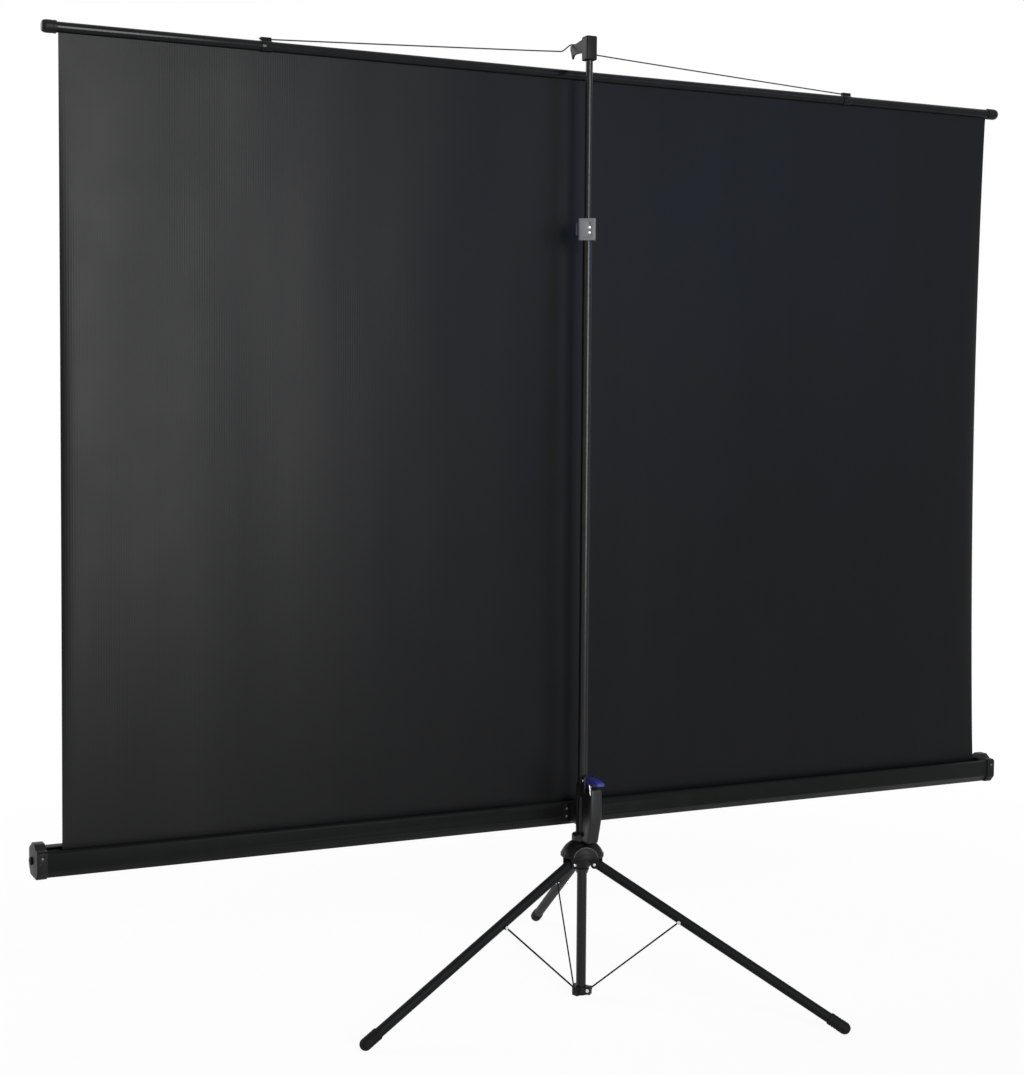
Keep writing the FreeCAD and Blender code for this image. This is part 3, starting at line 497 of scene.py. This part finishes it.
def ribGroup():
    # upright ribs of the backing cloth, with a crossing thread and a broken, uneven strength; its shade is
    # random streaks times painted shade in the rib grooves
    usual = [("Pitch", weave["pitch"]), ("Thread", weave["thread"])]
    group, start, end = newGroup("clothRibs", usual, ("Height", "Shade"))
    coords = group.nodes.new("ShaderNodeTexCoord")
    split = group.nodes.new("ShaderNodeSeparateXYZ")
    group.links.new(coords.outputs["Object"], split.inputs[0])
    wander = maths(group, "MULTIPLY", uprightNoise(group, *weave["bending"]), weave["wander"])
    across = maths(group, "ADD", split.outputs["X"], wander)
    waves = []
    for value, pitch in ((across, start["Pitch"]), (split.outputs["Z"], start["Thread"])):
        turns = maths(group, "MULTIPLY", maths(group, "DIVIDE", value, pitch), 2 * math.pi)
        waves.append(maths(group, "SINE", turns, 0))
    strength = ranged(group, uprightNoise(group, *weave["breaking"]), *weave["strength"])
    ribs = maths(group, "MULTIPLY", waves[0], strength)
    thread = maths(group, "MULTIPLY", waves[1], weave["threadShare"])
    group.links.new(maths(group, "ADD", ribs, thread), end["Height"])
    streaks = ranged(group, uprightNoise(group, *weave["streaking"]), *weave["streaks"])
    # painted shade: the colour is darker in the rib grooves and lighter on their crests
    paintedRibShade = maths(group, "ADD", maths(group, "MULTIPLY", ribs, weave["paintedRibShade"]), 1.0)
    group.links.new(maths(group, "MULTIPLY", streaks, paintedRibShade), end["Shade"])
    return group


skinGrain = grainGroup()
clothRibs = ribGroup()


# Finishes

def skin(name, color, rough, grain=900, bump=0.12, depth=0.00006, metal=0.0, specular=0.5):
    material, tree, shader = newMaterial(name, specular)
    shader.inputs["Metallic"].default_value = metal
    speckle = addGroup(tree, skinGrain, {"Grain Scale": grain, "Rough Low": rough[0], "Rough High": rough[1]})
    tree.links.new(shaded(tree, color, speckle["Shade"]), shader.inputs["Base Color"])
    tree.links.new(speckle["Roughness"], shader.inputs["Roughness"])
    tree.links.new(bumped(tree, speckle["Height"], bump, depth), shader.inputs["Normal"])
    return material


# colour, lowest and highest roughness, then what differs from the usual skin
skins = {
    "tubePaint": ((0.006, 0.0062, 0.0068), (0.21, 0.28), dict(grain=700, bump=0.08, specular=0.2)),
    "legPaint": ((0.0052, 0.0054, 0.0057), (0.48, 0.6), dict(grain=700, bump=0.1, specular=0.07)),
    "railPaint": ((0.005, 0.0052, 0.0056), (0.11, 0.16), dict(grain=800, bump=0.05, specular=0.11)),
    "casePaint": ((0.0036, 0.0038, 0.0037), (0.36, 0.48), dict(grain=650, bump=0.1, specular=0.07)),
    "blackMoulding": ((0.0045, 0.0045, 0.0048), (0.4, 0.54),
                      dict(grain=1100, bump=0.2, depth=0.0001, specular=0.12)),
    "gripMoulding": ((0.0065, 0.0065, 0.0068), (0.3, 0.42),
                     dict(grain=1100, bump=0.2, depth=0.0001, specular=0.28)),
    "greyMoulding": ((0.086, 0.086, 0.091), (0.4, 0.52),
                     dict(grain=1100, bump=0.18, depth=0.0001, specular=0.3)),
    # lighter grey painted on the hub's black rim, a painted highlight
    "rimPaintedHighlight": ((0.05, 0.05, 0.051), (0.36, 0.5), dict(grain=1100, bump=0.18, specular=0.3)),
    "navyMoulding": ((0.009, 0.009, 0.022), (0.38, 0.5), dict(grain=1100, bump=0.16, specular=0.25)),
    "blueMoulding": ((0.026, 0.034, 0.19), (0.26, 0.36), dict(grain=1000, specular=0.45)),
    "plated": ((0.62, 0.62, 0.63), (0.2, 0.34), dict(grain=1500, bump=0.06, metal=1.0)),
    "dullSteel": ((0.1, 0.1, 0.103), (0.42, 0.56), dict(grain=1500, bump=0.08, metal=1.0)),
    "darkWire": ((0.014, 0.014, 0.0145), (0.34, 0.48), dict(grain=1500, bump=0.08, specular=0.25)),
    "rubber": ((0.005, 0.005, 0.0052), (0.6, 0.78), dict(grain=1300, bump=0.3, depth=0.0001, specular=0.1)),
    "rollerPaint": ((0.02, 0.02, 0.021), (0.5, 0.62), dict(bump=0.1, specular=0.25)),
    "bareTube": ((0.6, 0.61, 0.62), (0.3, 0.42), dict(grain=1500, bump=0.05, metal=1.0)),
}
finishes = {name: skin(name, color, rough, **rest) for name, (color, rough, rest) in skins.items()}

backSide = {"color": (0.0022, 0.0023, 0.0026), "specular": 0.105, "ribBump": (0.35, 0.00012),
            "grain": {"Grain Scale": 420, "Rough Low": 0.365, "Rough High": 0.4},
            "swellNoise": (1, 1), "swellStretch": (4, 1, 0.8), "swellLean": 14, "swellBump": (1, 0.007)}
viewingSide = {"color": (0.8, 0.8, 0.79), "border": (0.012, 0.012, 0.012, 1), "specular": 0.15,
               "bump": (0.2, 0.0001),
               "grain": {"Grain Scale": 2600, "Rough Low": 0.75, "Rough High": 0.85,
                         "Shade Low": 0.96, "Shade High": 1.0}}


def backCloth():
    material, tree, shader = newMaterial("blackBacking", backSide["specular"])
    ribs = addGroup(tree, clothRibs, {})
    speckle = addGroup(tree, skinGrain, backSide["grain"])
    # random streaks and painted rib-groove shade go into the base colour
    tree.links.new(shaded(tree, backSide["color"], ribs["Shade"]), shader.inputs["Base Color"])
    tree.links.new(speckle["Roughness"], shader.inputs["Roughness"])
    # soft leaning waves lie over the ribs, too shallow to model
    swell = objectNoise(tree, *backSide["swellNoise"], stretch=backSide["swellStretch"],
                        lean=backSide["swellLean"])
    ribbed = bumped(tree, ribs["Height"], *backSide["ribBump"])
    tree.links.new(bumped(tree, swell, *backSide["swellBump"], ribbed), shader.inputs["Normal"])
    return material


def frontCloth(left, right, bottom, top):
    # matt white viewing side inside a black border
    material, tree, shader = newMaterial("whiteViewing", viewingSide["specular"])
    coords = tree.nodes.new("ShaderNodeTexCoord")
    split = tree.nodes.new("ShaderNodeSeparateXYZ")
    tree.links.new(coords.outputs["Object"], split.inputs[0])
    inside = maths(tree, "GREATER_THAN", split.outputs["X"], left)
    for axis, operation, limit in (("X", "LESS_THAN", right), ("Z", "LESS_THAN", top),
                                   ("Z", "GREATER_THAN", bottom)):
        inside = maths(tree, "MULTIPLY", inside, maths(tree, operation, split.outputs[axis], limit))
    speckle = addGroup(tree, skinGrain, viewingSide["grain"])
    mix = tree.nodes.new("ShaderNodeMix")
    mix.data_type = "RGBA"
    tree.links.new(inside, mix.inputs["Factor"])
    mix.inputs[6].default_value = viewingSide["border"]
    tree.links.new(shaded(tree, viewingSide["color"], speckle["Shade"]), mix.inputs[7])
    tree.links.new(mix.outputs[2], shader.inputs["Base Color"])
    tree.links.new(speckle["Roughness"], shader.inputs["Roughness"])
    tree.links.new(bumped(tree, speckle["Height"], *viewingSide["bump"]), shader.inputs["Normal"])
    return material


finishes["blackBacking"] = backCloth()
print("finishes mixed:", len(finishes))


# The hanging sheet, in three lengths that meet along level seams, each hung on a body

cloth = {"half": 1.0, "middle": 0.01, "thick": 0.0004, "border": 0.04,
         "topLength": 0.36, "middleLength": 0.25, "columns": 280, "topRows": 24, "middleRows": 16,
         "lowRows": 48, "frontNormal": 0.3, "leftWaist": 0.002, "rightWaist": 0.009, "easing": 0.8,
         "curl": 0.006, "curlReach": 0.015, "wave": 0.003,
         "shares": (0.0, 0.20, 0.44, 0.57, 0.70, 0.86, 1.0),   # where the waves meet, across the sheet
         "depths": (0.3, 1.0, 0.6, 0.7, 0.9, 0.5)}
cloth["y"] = middleOf("hem_rod")[1]
cloth["low"], cloth["high"] = (corner.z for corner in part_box("screen_fabric"))
cloth["slot"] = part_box("case_shell")[1].z
cloth["rail"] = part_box("top_rail")[0].z
viewing = frontCloth(cloth["middle"] - cloth["half"] + cloth["border"],
                     cloth["middle"] + cloth["half"] - cloth["border"],
                     cloth["slot"] + cloth["border"], cloth["rail"] - cloth["border"])


def hang(share):
    # how far the waves and the waist have come in, by height
    return max(0.0, math.sin(math.pi * min(1.0, max(0.0, share)))) ** cloth["easing"]


def clothPoint(across, z):
    share = hang((z - cloth["slot"]) / (cloth["rail"] - cloth["slot"]))
    side = 2 * across - 1
    x = cloth["middle"] + cloth["half"] * side
    x += share * (cloth["leftWaist"] * max(0, -side) ** 2 - cloth["rightWaist"] * max(0, side) ** 2)
    index = max(i for i, start in enumerate(cloth["shares"][:-1]) if across >= start or i == 0)
    start, end = cloth["shares"][index], cloth["shares"][index + 1]
    wave = math.sin(math.pi * (across - start) / (end - start)) * cloth["depths"][index] * (-1) ** index
    edge = min(across, 1 - across) * 2 * cloth["half"]
    curl = cloth["curl"] * math.exp(-edge / cloth["curlReach"])
    return Vector((x, cloth["y"] + share * (cloth["wave"] * wave + curl), z))


def clothLength(name, low, high, rows):
    bpy.ops.mesh.primitive_grid_add(x_subdivisions=cloth["columns"], y_subdivisions=rows, size=1)
    piece = fresh()
    for vertex in piece.data.vertices:
        across, up = vertex.co.x + 0.5, vertex.co.y + 0.5
        # columns crowd towards the side edges, where the cloth curls
        across = 0.5 - 0.5 * math.cos(math.pi * across)
        vertex.co = clothPoint(across, low + up * (high - low))
    inEdit(piece, lambda: bpy.ops.mesh.normals_make_consistent(inside=False))
    useModifier(piece, "SOLIDIFY", thickness=cloth["thick"], offset=0)
    smoothShade(piece, angle=40)
    piece.name = name
    piece.data.name = name
    piece.data.materials.append(finishes["blackBacking"])
    piece.data.materials.append(viewing)
    for face in piece.data.polygons:
        face.material_index = 1 if face.normal.y > cloth["frontNormal"] else 0
    return piece


def hangSheet():
    topSeam = cloth["high"] - cloth["topLength"]
    lowSeam = topSeam - cloth["middleLength"]
    lengths = (("clothTop", topSeam, cloth["high"], "mast", "mast_extension", topSeam, cloth["topRows"]),
               ("clothMiddle", lowSeam, topSeam, "mast", "leg_fold", topSeam, cloth["middleRows"]),
               ("clothLow", cloth["low"], lowSeam, "leg_hub", "case_height", lowSeam, cloth["lowRows"]))
    for name, low, high, body, joint, anchor, rows in lengths:
        piece = clothLength(name, low, high, rows)
        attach(piece, body)
        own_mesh(piece)
        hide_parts("screen_fabric")


hangSheet()
print("sheet hung")


# Head block with its beak hook

head = {"round": 0.003, "armHalf": 0.005, "armEdge": 0.0012, "wire": 0.0026, "wirePlay": 0.0003,
        "tipFrom": 0.05, "tipShare": 0.42, "tipDrop": (0.006, 0.018),
        "screw": (0.0024, 0.0018), "screwUp": 0.012, "screwSunk": 0.0004,
        # y and rise of the beak's outline, from the hook's top
        "beak": ((0.0, 0.0061), (0.009, 0.0060), (0.018, 0.0047), (0.030, 0.0027), (0.042, 0.0011),
                 (0.052, 0.0002), (0.057, 0.0), (0.0632, 0.0), (0.0655, -0.0013), (0.0667, -0.0042),
                 (0.0669, -0.0085), (0.0662, -0.0140), (0.0650, -0.0195), (0.0640, -0.0250),
                 (0.0630, -0.0259), (0.0617, -0.0240), (0.0602, -0.0212), (0.0575, -0.0192),
                 (0.0520, -0.0180), (0.0400, -0.0180), (0.0250, -0.0190), (0.0, -0.0205))}


def makeHead():
    low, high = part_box("head_hook")
    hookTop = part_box("bail_wire")[1].z - head["wire"] - head["wirePlay"]
    block = softEdges(boxFrom(low, (high.x, -low.y, high.z)), head["round"], segments=4)
    beak = outlineSolid([(y, hookTop + rise) for y, rise in head["beak"]], -head["armHalf"], head["armHalf"])
    start, end = head["tipDrop"]
    for vertex in beak.data.vertices:
        # the beak thins towards its tip
        if vertex.co.y > head["tipFrom"]:
            share = min(1, max(0, (hookTop - vertex.co.z - start) / (end - start)))
            vertex.co.x *= 1 + share * (head["tipShare"] - 1)
    merged(block, softEdges(beak, head["armEdge"], angle=60))
    place(block, "headBlock", "extension", "blackMoulding", "black_plastic", "head_hook")
    nub = domedPin((high.x - head["screwSunk"], 0, low.z + head["screwUp"]), (1, 0, 0), *head["screw"])
    place(nub, "headScrew", "extension", "plated", "bright_steel")


makeHead()


# Top rail's caps, bail and clips

rail = {"clipEdge": 0.0005,
        "cap": ((0, 0), (0.0104, 0), (0.0112, 0.0008), (0.0112, 0.0055), (0.0107, 0.0061), (0.0107, 0.0071),
                (0.0112, 0.0077), (0.0112, 0.0172), (0.0109, 0.0200), (0.0100, 0.0228), (0.0083, 0.0247),
                (0.0058, 0.0256), (0, 0.0258))}


def makeRailEnds():
    railLow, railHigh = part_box("top_rail")
    for name, node, side, end in (("railCapLeft", "rail_cap_left", -1, railLow.x),
                                  ("railCapRight", "rail_cap_right", 1, railHigh.x)):
        y, z = middleOf(node)[1:]
        cap = turnedSolid(rail["cap"], (end, y, z), (side, 0, 0))
        place(cap, name, "extension", "blackMoulding", "black_plastic", node)
    clips = softEdges(cadCopy("bail_clips"), rail["clipEdge"], 2)
    place(clips, "bailClips", "extension", "railPaint", "rail_paint", "bail_clips")


makeRailEnds()

bail = {"wire": 0.0013, "sides": 4, "steps": 24, "bend": 0.005, "clip": 0.631, "stub": 0.0126,
        "kink": (0.035, 0.030), "hump": (0.0154, 0.044)}   # distance from the middle, and rise


def makeBail():
    level, y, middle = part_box("bail_wire")[0].z + bail["wire"], middleOf("bail_wire")[1], cloth["middle"]
    half = [(bail["clip"] + bail["stub"], 0), (bail["clip"] - bail["stub"], 0), bail["kink"], bail["hump"]]
    route = [Vector((middle - x, y, level + rise)) for x, rise in half]
    route += [Vector((middle + x, y, level + rise)) for x, rise in reversed(half)]
    data = bpy.data.curves.new("bailRoute", "CURVE")
    data.dimensions = "3D"
    data.bevel_depth = bail["wire"]
    data.bevel_resolution = bail["sides"]
    data.resolution_u = bail["steps"]
    data.use_fill_caps = True
    run = data.splines.new("BEZIER")
    run.bezier_points.add(len(route) - 1)
    for index, (point, spot) in enumerate(zip(run.bezier_points, route)):
        before = route[max(index - 1, 0)] - spot
        after = route[min(index + 1, len(route) - 1)] - spot
        along = (after.normalized() - before.normalized()).normalized() * bail["bend"]
        point.co = spot
        point.handle_left_type = point.handle_right_type = "FREE"
        point.handle_left = spot - along
        point.handle_right = spot + along
    wire = bpy.data.objects.new("bailWire", data)
    scene.collection.objects.link(wire)
    pick(wire)
    bpy.ops.object.convert(target="MESH")
    place(smoothShade(fresh(), angle=50), "bailWire", "bail", "darkWire", "bright_steel", "bail_wire")


makeBail()
print("head, rail ends and bail made")


# Mast lock

lock = {"turn": -29.5, "depth": 0.0252, "side": 0.0028, "edge": 0.0007, "rivet": (0.0025, 0.0011),
        "rivetSunk": 0.0002, "buttonEdge": 0.0006, "ribs": 5, "ribFrom": 0.26, "ribStep": 0.12,
        "ribHalf": 0.0006, "ribReach": 0.0022, "ribProud": 0.0005, "ribInset": 0.003, "ribEdge": 0.0004}


def makeLock():
    # the block faces a little to the left of straight back
    turn = Matrix.Rotation(math.radians(lock["turn"]), 4, "Z")
    back = turn @ Vector((0, -1, 0))
    block = softEdges(cadCopy("lock_block"), lock["edge"])
    place(block, "lockBlock", "mast", "greyMoulding", "grey_plastic", "lock_block")
    low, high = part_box("lock_rivets")
    radius, height = lock["rivet"]
    seat = turn @ Vector((lock["side"], lock["rivetSunk"] - lock["depth"] / 2, 0))
    pins = [domedPin(seat + Vector((0, 0, z)), back, radius, height)
            for z in (low.z + radius, high.z - radius)]
    place(joined(*pins), "lockRivets", "mast", "plated", "bright_steel", "lock_rivets")
    low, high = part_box("lock_button")
    button = softEdges(cadCopy("lock_button"), lock["buttonEdge"])
    # level ribs across the button's end
    spots = [turn.inverted() @ vertex.co for vertex in button.data.vertices]
    outer = min(spot.x for spot in spots)
    wide = max(spot.y for spot in spots) - lock["ribInset"]
    for index in range(lock["ribs"]):
        z = low.z + (high.z - low.z) * (lock["ribFrom"] + lock["ribStep"] * index)
        rib = boxFrom((outer - lock["ribProud"], -wide, z - lock["ribHalf"]),
                      (outer + lock["ribReach"], wide, z + lock["ribHalf"]))
        softEdges(rib, lock["ribEdge"], 2)
        rib.matrix_world = turn
        merged(button, settle(rib))
    place(button, "lockButton", "lock_button", "navyMoulding", "navy_plastic", "lock_button")


makeLock()


# Carriage with its handle and lever; outlines are y, or the sleeve's radius, and rise from the foot

carriage = {"bore": 0.0098, "boreEnds": (-0.002, 0.112), "open": (0.0165, 0.0860), "openHalf": 0.03,
            "boss": 0.010, "bossEdge": 0.002, "handle": 0.012, "handleEdge": 0.0034,
            "pane": 0.006, "paneBack": -0.037, "paneFoot": 0.0085, "paneLap": 0.004,
            "web": 0.0118, "webBack": -0.0275, "webEnds": (0.094, 0.110),
            "ear": 0.0035, "earFront": -0.0125, "earFoot": 0.096, "smallEdge": 0.0012,
            "pin": (0.0025, 0.0014), "linkThick": 0.001, "linkEdge": 0.0003,
            "link": ((-0.0528, 0.0985), (-0.0500, 0.0985), (-0.0440, 0.1170), (-0.0452, 0.1190),
                     (-0.0478, 0.1180)),
            "sleeve": ((0, 0), (0.0180, 0), (0.0205, 0.0028), (0.0205, 0.0115), (0.0188, 0.0142),
                       (0.0142, 0.0160), (0.0126, 0.0190), (0.0125, 0.1070), (0.0118, 0.1100), (0, 0.1100)),
            "grip": ((0.0, 0.0020), (-0.0355, 0.0020), (-0.0395, 0.0030), (-0.0420, 0.0062),
                     (-0.0525, 0.0450), (-0.0537, 0.0520), (-0.0540, 0.0590), (-0.0540, 0.1020),
                     (-0.0528, 0.1072), (-0.0490, 0.1100), (-0.0405, 0.1100), (-0.0368, 0.1082),
                     (-0.0355, 0.1035), (-0.0335, 0.1000), (-0.0295, 0.0990), (0.0, 0.0990),
                     (0.0, 0.0862), (-0.0270, 0.0860), (-0.0325, 0.0845), (-0.0352, 0.0808),
                     (-0.0360, 0.0755), (-0.0360, 0.0525), (-0.0350, 0.0465), (-0.0265, 0.0200),
                     (-0.0240, 0.0165), (-0.0202, 0.0150), (0.0, 0.0150))}
lever = {"half": 0.008, "play": 0.0003, "edge": 0.0026, "corner": 0.0045,
         # from the front end, y, and from the tip, each with the drop below the top
         "heel": ((0.0, 0.0045), (0.0016, 0.0014), (0.0052, 0.0)),
         "crown": ((-0.034, 0.0), (-0.047, 0.0004), (-0.058, 0.0018), (-0.0655, 0.0038)),
         "tip": ((0.0012, 0.0060), (0.0, 0.0080), (0.0006, 0.0098), (0.003, 0.0108)),
         # y and drop below the top, then y and rise above the underside
         "chin": ((-0.060, 0.0112),),
         "belly": ((-0.052, 0.0022), (-0.0455, 0.0003), (-0.034, 0.0))}


def makeCarriage():
    low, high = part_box("carriage_body")
    base = low.z
    sleeve = turnedSolid(carriage["sleeve"], (0, 0, base), (0, 0, 1))
    openLow, openHigh = (base + z for z in carriage["open"])
    wide = carriage["openHalf"]
    carved(sleeve, boxFrom((-wide, -wide, openLow), (wide, 0, openHigh)))
    bossLow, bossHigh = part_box("case_bracket")
    boss = boxFrom((-carriage["boss"], 0, bossLow.z), (carriage["boss"], bossLow.y, bossHigh.z))
    half = carriage["handle"]
    handle = outlineSolid([(y, base + z) for y, z in carriage["grip"]], -half, half)
    pane = boxFrom((-carriage["pane"], carriage["paneBack"], base + carriage["paneFoot"]),
                   (carriage["pane"], 0, openHigh + carriage["paneLap"]))
    webLow, webHigh = (base + z for z in carriage["webEnds"])
    web = boxFrom((-carriage["web"], carriage["webBack"], webLow), (carriage["web"], 0, webHigh))
    parts = [softEdges(boss, carriage["bossEdge"]), softEdges(handle, carriage["handleEdge"], 4, angle=60),
             pane, softEdges(web, carriage["smallEdge"])]
    inner = lever["half"] + lever["play"]
    outer = inner + carriage["ear"]
    for left, right in ((-outer, -inner), (inner, outer)):
        ear = boxFrom((left, carriage["webBack"], base + carriage["earFoot"]),
                      (right, carriage["earFront"], high.z))
        parts.append(softEdges(ear, carriage["smallEdge"]))
    merged(sleeve, *parts)
    radius, (start, end) = carriage["bore"], carriage["boreEnds"]
    bore = turnedSolid(((0, start), (radius, start), (radius, end), (0, end)), (0, 0, base), (0, 0, 1))
    smoothShade(carved(sleeve, bore))
    place(sleeve, "carriageBody", "carriage", "gripMoulding", "black_plastic", "carriage_body")


def makeLever():
    low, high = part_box("clamp_lever")
    tongue = [(high.y, low.z + lever["corner"])]
    tongue += [(high.y - y, high.z - drop) for y, drop in lever["heel"]]
    tongue += [(y, high.z - drop) for y, drop in lever["crown"]]
    tongue += [(low.y + y, high.z - drop) for y, drop in lever["tip"]]
    tongue += [(y, high.z - drop) for y, drop in lever["chin"]]
    tongue += [(y, low.z + rise) for y, rise in lever["belly"]]
    tongue.append((high.y - lever["corner"], low.z))
    piece = softEdges(outlineSolid(tongue, low.x, high.x), lever["edge"], 4, angle=60)
    place(piece, "clampLever", "clamp_lever", "blueMoulding", "navy_plastic", "clamp_lever")


def makeLeverFittings():
    base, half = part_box("carriage_body")[0].z, carriage["handle"]
    link = outlineSolid([(y, base + z) for y, z in carriage["link"]], -half - carriage["linkThick"], -half)
    place(softEdges(link, carriage["linkEdge"], 2), "leverLink", "carriage", "plated", "bright_steel")
    y, z = middleOf("lever_pin")[1:]
    radius, height = carriage["pin"]
    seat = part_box("lever_pin")[1].x - height
    pins = [domedPin((side * seat, y, z), (side, 0, 0), radius, height) for side in (-1, 1)]
    place(joined(*pins), "leverPin", "carriage", "plated", "bright_steel", "lever_pin")


makeCarriage()
makeLever()
makeLeverFittings()
print("lock and carriage made")


# Screws with a crossed recess, made once and copied

screw = {"radius": 0.0027, "height": 0.0019, "slot": 0.0007, "reach": 0.0017, "depth": 0.0009,
         "overrun": 0.001, "cadRadius": 0.0035}


def panScrew():
    made = domedPin((0, 0, 0), (0, -1, 0), screw["radius"], screw["height"])
    face = -screw["height"]
    for wide, tall in ((screw["reach"], screw["slot"] / 2), (screw["slot"] / 2, screw["reach"])):
        carved(made, boxFrom((-wide, face - screw["overrun"], -tall), (wide, face + screw["depth"], tall)))
    return smoothShade(made)


def makeScrews():
    first = panScrew()
    rim = screw["cadRadius"]
    low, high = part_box("bracket_screws")
    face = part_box("case_bracket")[0].y
    onBracket = [(x, face, z) for x in (low.x + rim, high.x - rim) for z in (low.z + rim, high.z - rim)]
    low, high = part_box("cap_screws")
    face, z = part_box("case_cap_left")[0].y, middleOf("cap_screws")[2]
    onCaps = [(x, face, z) for x in (low.x + rim, high.x - rim)]
    for name, node, spots in (("bracketScrews", "bracket_screws", onBracket),
                              ("capScrews", "cap_screws", onCaps)):
        screws = joined(*[copyOf(first, spot) for spot in spots])
        place(screws, name, "carriage", "dullSteel", "bright_steel", node)
    bpy.data.objects.remove(first)


makeScrews()


# Case shell, its caps and the axle cover

case = {"shellEdge": 0.0006, "capEdge": 0.0014, "knobSteps": 48,
        "knob": ((0, 0), (0.0058, 0), (0.0064, 0.0006), (0.0075, 0.0010), (0.0075, 0.0026), (0.0070, 0.0038),
                 (0.0058, 0.0044), (0.0030, 0.0045), (0.0024, 0.0039), (0, 0.0037))}


def makeCase():
    shell = softEdges(cadCopy("case_shell"), case["shellEdge"], 2)
    place(shell, "caseShell", "carriage", "casePaint", "rail_paint", "case_shell")
    for name, node in (("caseCapLeft", "case_cap_left"), ("caseCapRight", "case_cap_right")):
        cap = softEdges(cadCopy(node), case["capEdge"])
        place(cap, name, "carriage", "blackMoulding", "black_plastic", node)
    seat = (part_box("axle_cover")[1].x, *middleOf("axle_cover")[1:])
    knob = turnedSolid(case["knob"], seat, (-1, 0, 0), case["knobSteps"])
    place(knob, "axleCover", "carriage", "blackMoulding", "black_plastic", "axle_cover")


makeCase()
print("case made")


# Tripod: hub with its rim, feet, leg rivets, collar and stays

legNames = ("left", "right", "front")
tripod = {"reach": 0.5364, "lean": 62.1, "pinHalf": 0.0144, "pin": (0.0031, 0.0018),
          "hubEdge": 0.0009, "collarEdge": 0.0008, "stayEdge": 0.0004}
footShape = {"toe": 0.0113, "sleeve": 0.031, "steps": 48, "ballSteps": 10, "grooves": (0.007, 0.0125, 0.018),
             # depth and height of the edge at the top, then of one groove
             "lip": ((0.0012, 0.0), (0.0003, 0.0008), (0.0, 0.0022)),
             "groove": ((0.0, 0.0), (0.0007, 0.0006), (0.0007, 0.0018), (0.0, 0.0024))}
hubRim = {"inner": 0.0226, "outer": 0.0242, "proud": 0.0012, "shoulder": 0.6, "ease": 0.0004,
          "reach": 0.037, "lift": 0.0127, "steps": 40, "sweep": 156, "begin": 12}


def legLines():
    # each leg's pivot, the way it points outwards, its hinge and the way it runs
    lean = math.radians(tripod["lean"])
    for name in legNames:
        joint = jointNamed(f"leg_{name}_swing")
        pivot = Vector(joint["pos_m"])
        out = Vector((pivot.x, pivot.y, 0)).normalized()
        yield name, pivot, out, Vector(joint["axis"]), out * math.sin(lean) - Vector((0, 0, math.cos(lean)))


def footProfile():
    toe, sleeve = footShape["toe"], footShape["sleeve"]
    points = [(0, 0)] + [(toe - depth, height) for depth, height in footShape["lip"]]
    for start in footShape["grooves"]:
        points += [(toe - depth, start + height) for depth, height in footShape["groove"]]
    angles = [math.radians(90 / footShape["ballSteps"] * i) for i in range(footShape["ballSteps"])]
    points += [(toe * math.cos(angle), sleeve + toe * math.sin(angle)) for angle in angles]
    return points + [(0, sleeve + toe)]


def makeFoot(name, pivot, along):
    start = pivot + along * (tripod["reach"] - footShape["sleeve"])
    foot = turnedSolid(footProfile(), start, along, footShape["steps"])
    # cut flat on the floor
    inEdit(foot, lambda: bpy.ops.mesh.bisect(plane_co=(0, 0, 0), plane_no=(0, 0, 1), clear_inner=True,
                                             use_fill=True))
    place(smoothShade(foot), "foot" + name.title(), "leg_" + name, "rubber", "foot_rubber", "foot_" + name)


def makeHubRim(out, level):
    # the half disc faces away from the front leg, and its rim rises from the brim
    inner, outer, proud, ease = (hubRim[key] for key in ("inner", "outer", "proud", "ease"))
    shoulder = proud * hubRim["shoulder"]
    profile = ((inner, -dome["sunk"]), (inner, shoulder), (inner + ease, proud), (outer - ease, proud),
               (outer, shoulder), (outer, -dome["sunk"]))
    base = Vector((0, 0, level + hubRim["lift"])) - out * hubRim["reach"]
    rim = turnedSolid(profile, base, -out, hubRim["steps"], hubRim["sweep"], hubRim["begin"], True)
    # the rim's lighter grey is a painted highlight on black plastic
    place(rim, "hubRim", "leg_hub", "rimPaintedHighlight", "black_plastic")


def makeTripod():
    hub = softEdges(cadCopy("leg_hub"), tripod["hubEdge"])
    place(hub, "legHub", "leg_hub", "blackMoulding", "black_plastic", "leg_hub")
    radius, height = tripod["pin"]
    seat = tripod["pinHalf"] - height
    pins = []
    for name, pivot, out, across, along in legLines():
        if name == "front":
            makeHubRim(out, pivot.z)
        makeFoot(name, pivot, along)
        pins += [domedPin(pivot + across * side * seat, across * side, radius, height) for side in (-1, 1)]
    place(joined(*pins), "legPivotPins", "leg_hub", "plated", "bright_steel", "leg_pivot_pins")
    collar = softEdges(cadCopy("base_collar"), tripod["collarEdge"])
    place(collar, "baseCollar", "mast", "blackMoulding", "black_plastic", "base_collar")
    for name in legNames:
        stay = softEdges(cadCopy("stay_" + name), tripod["stayEdge"], 2)
        place(stay, "stay" + name.title(), "stay_" + name, "legPaint", "leg_paint", "stay_" + name)


makeTripod()
print("tripod made")


# CAD nodes that keep their shape get their finish here

cadLooks = {
    "tubePaint": ("main_tube", "extension_tube", "hub_stop"),
    "rollerPaint": ("roller_tube",),
    "legPaint": ("leg_left", "leg_right", "leg_front"),
    "railPaint": ("top_rail",),
    "casePaint": ("case_bracket",),
    "blackMoulding": ("guide_bush", "extension_shoe", "roller_plugs"),
    "plated": ("collar_rivets", "lever_stop_pin", "pivot_bolt", "axle_pins", "stay_rivet_left",
               "stay_rivet_right", "stay_rivet_front"),
    "bareTube": ("hem_rod",),
    "blackBacking": ("fabric_roll",),
}
for finish, names in cadLooks.items():
    for name in names:
        nodes[name].data.materials.clear()
        nodes[name].data.materials.append(finishes[finish])

print("all pieces placed")
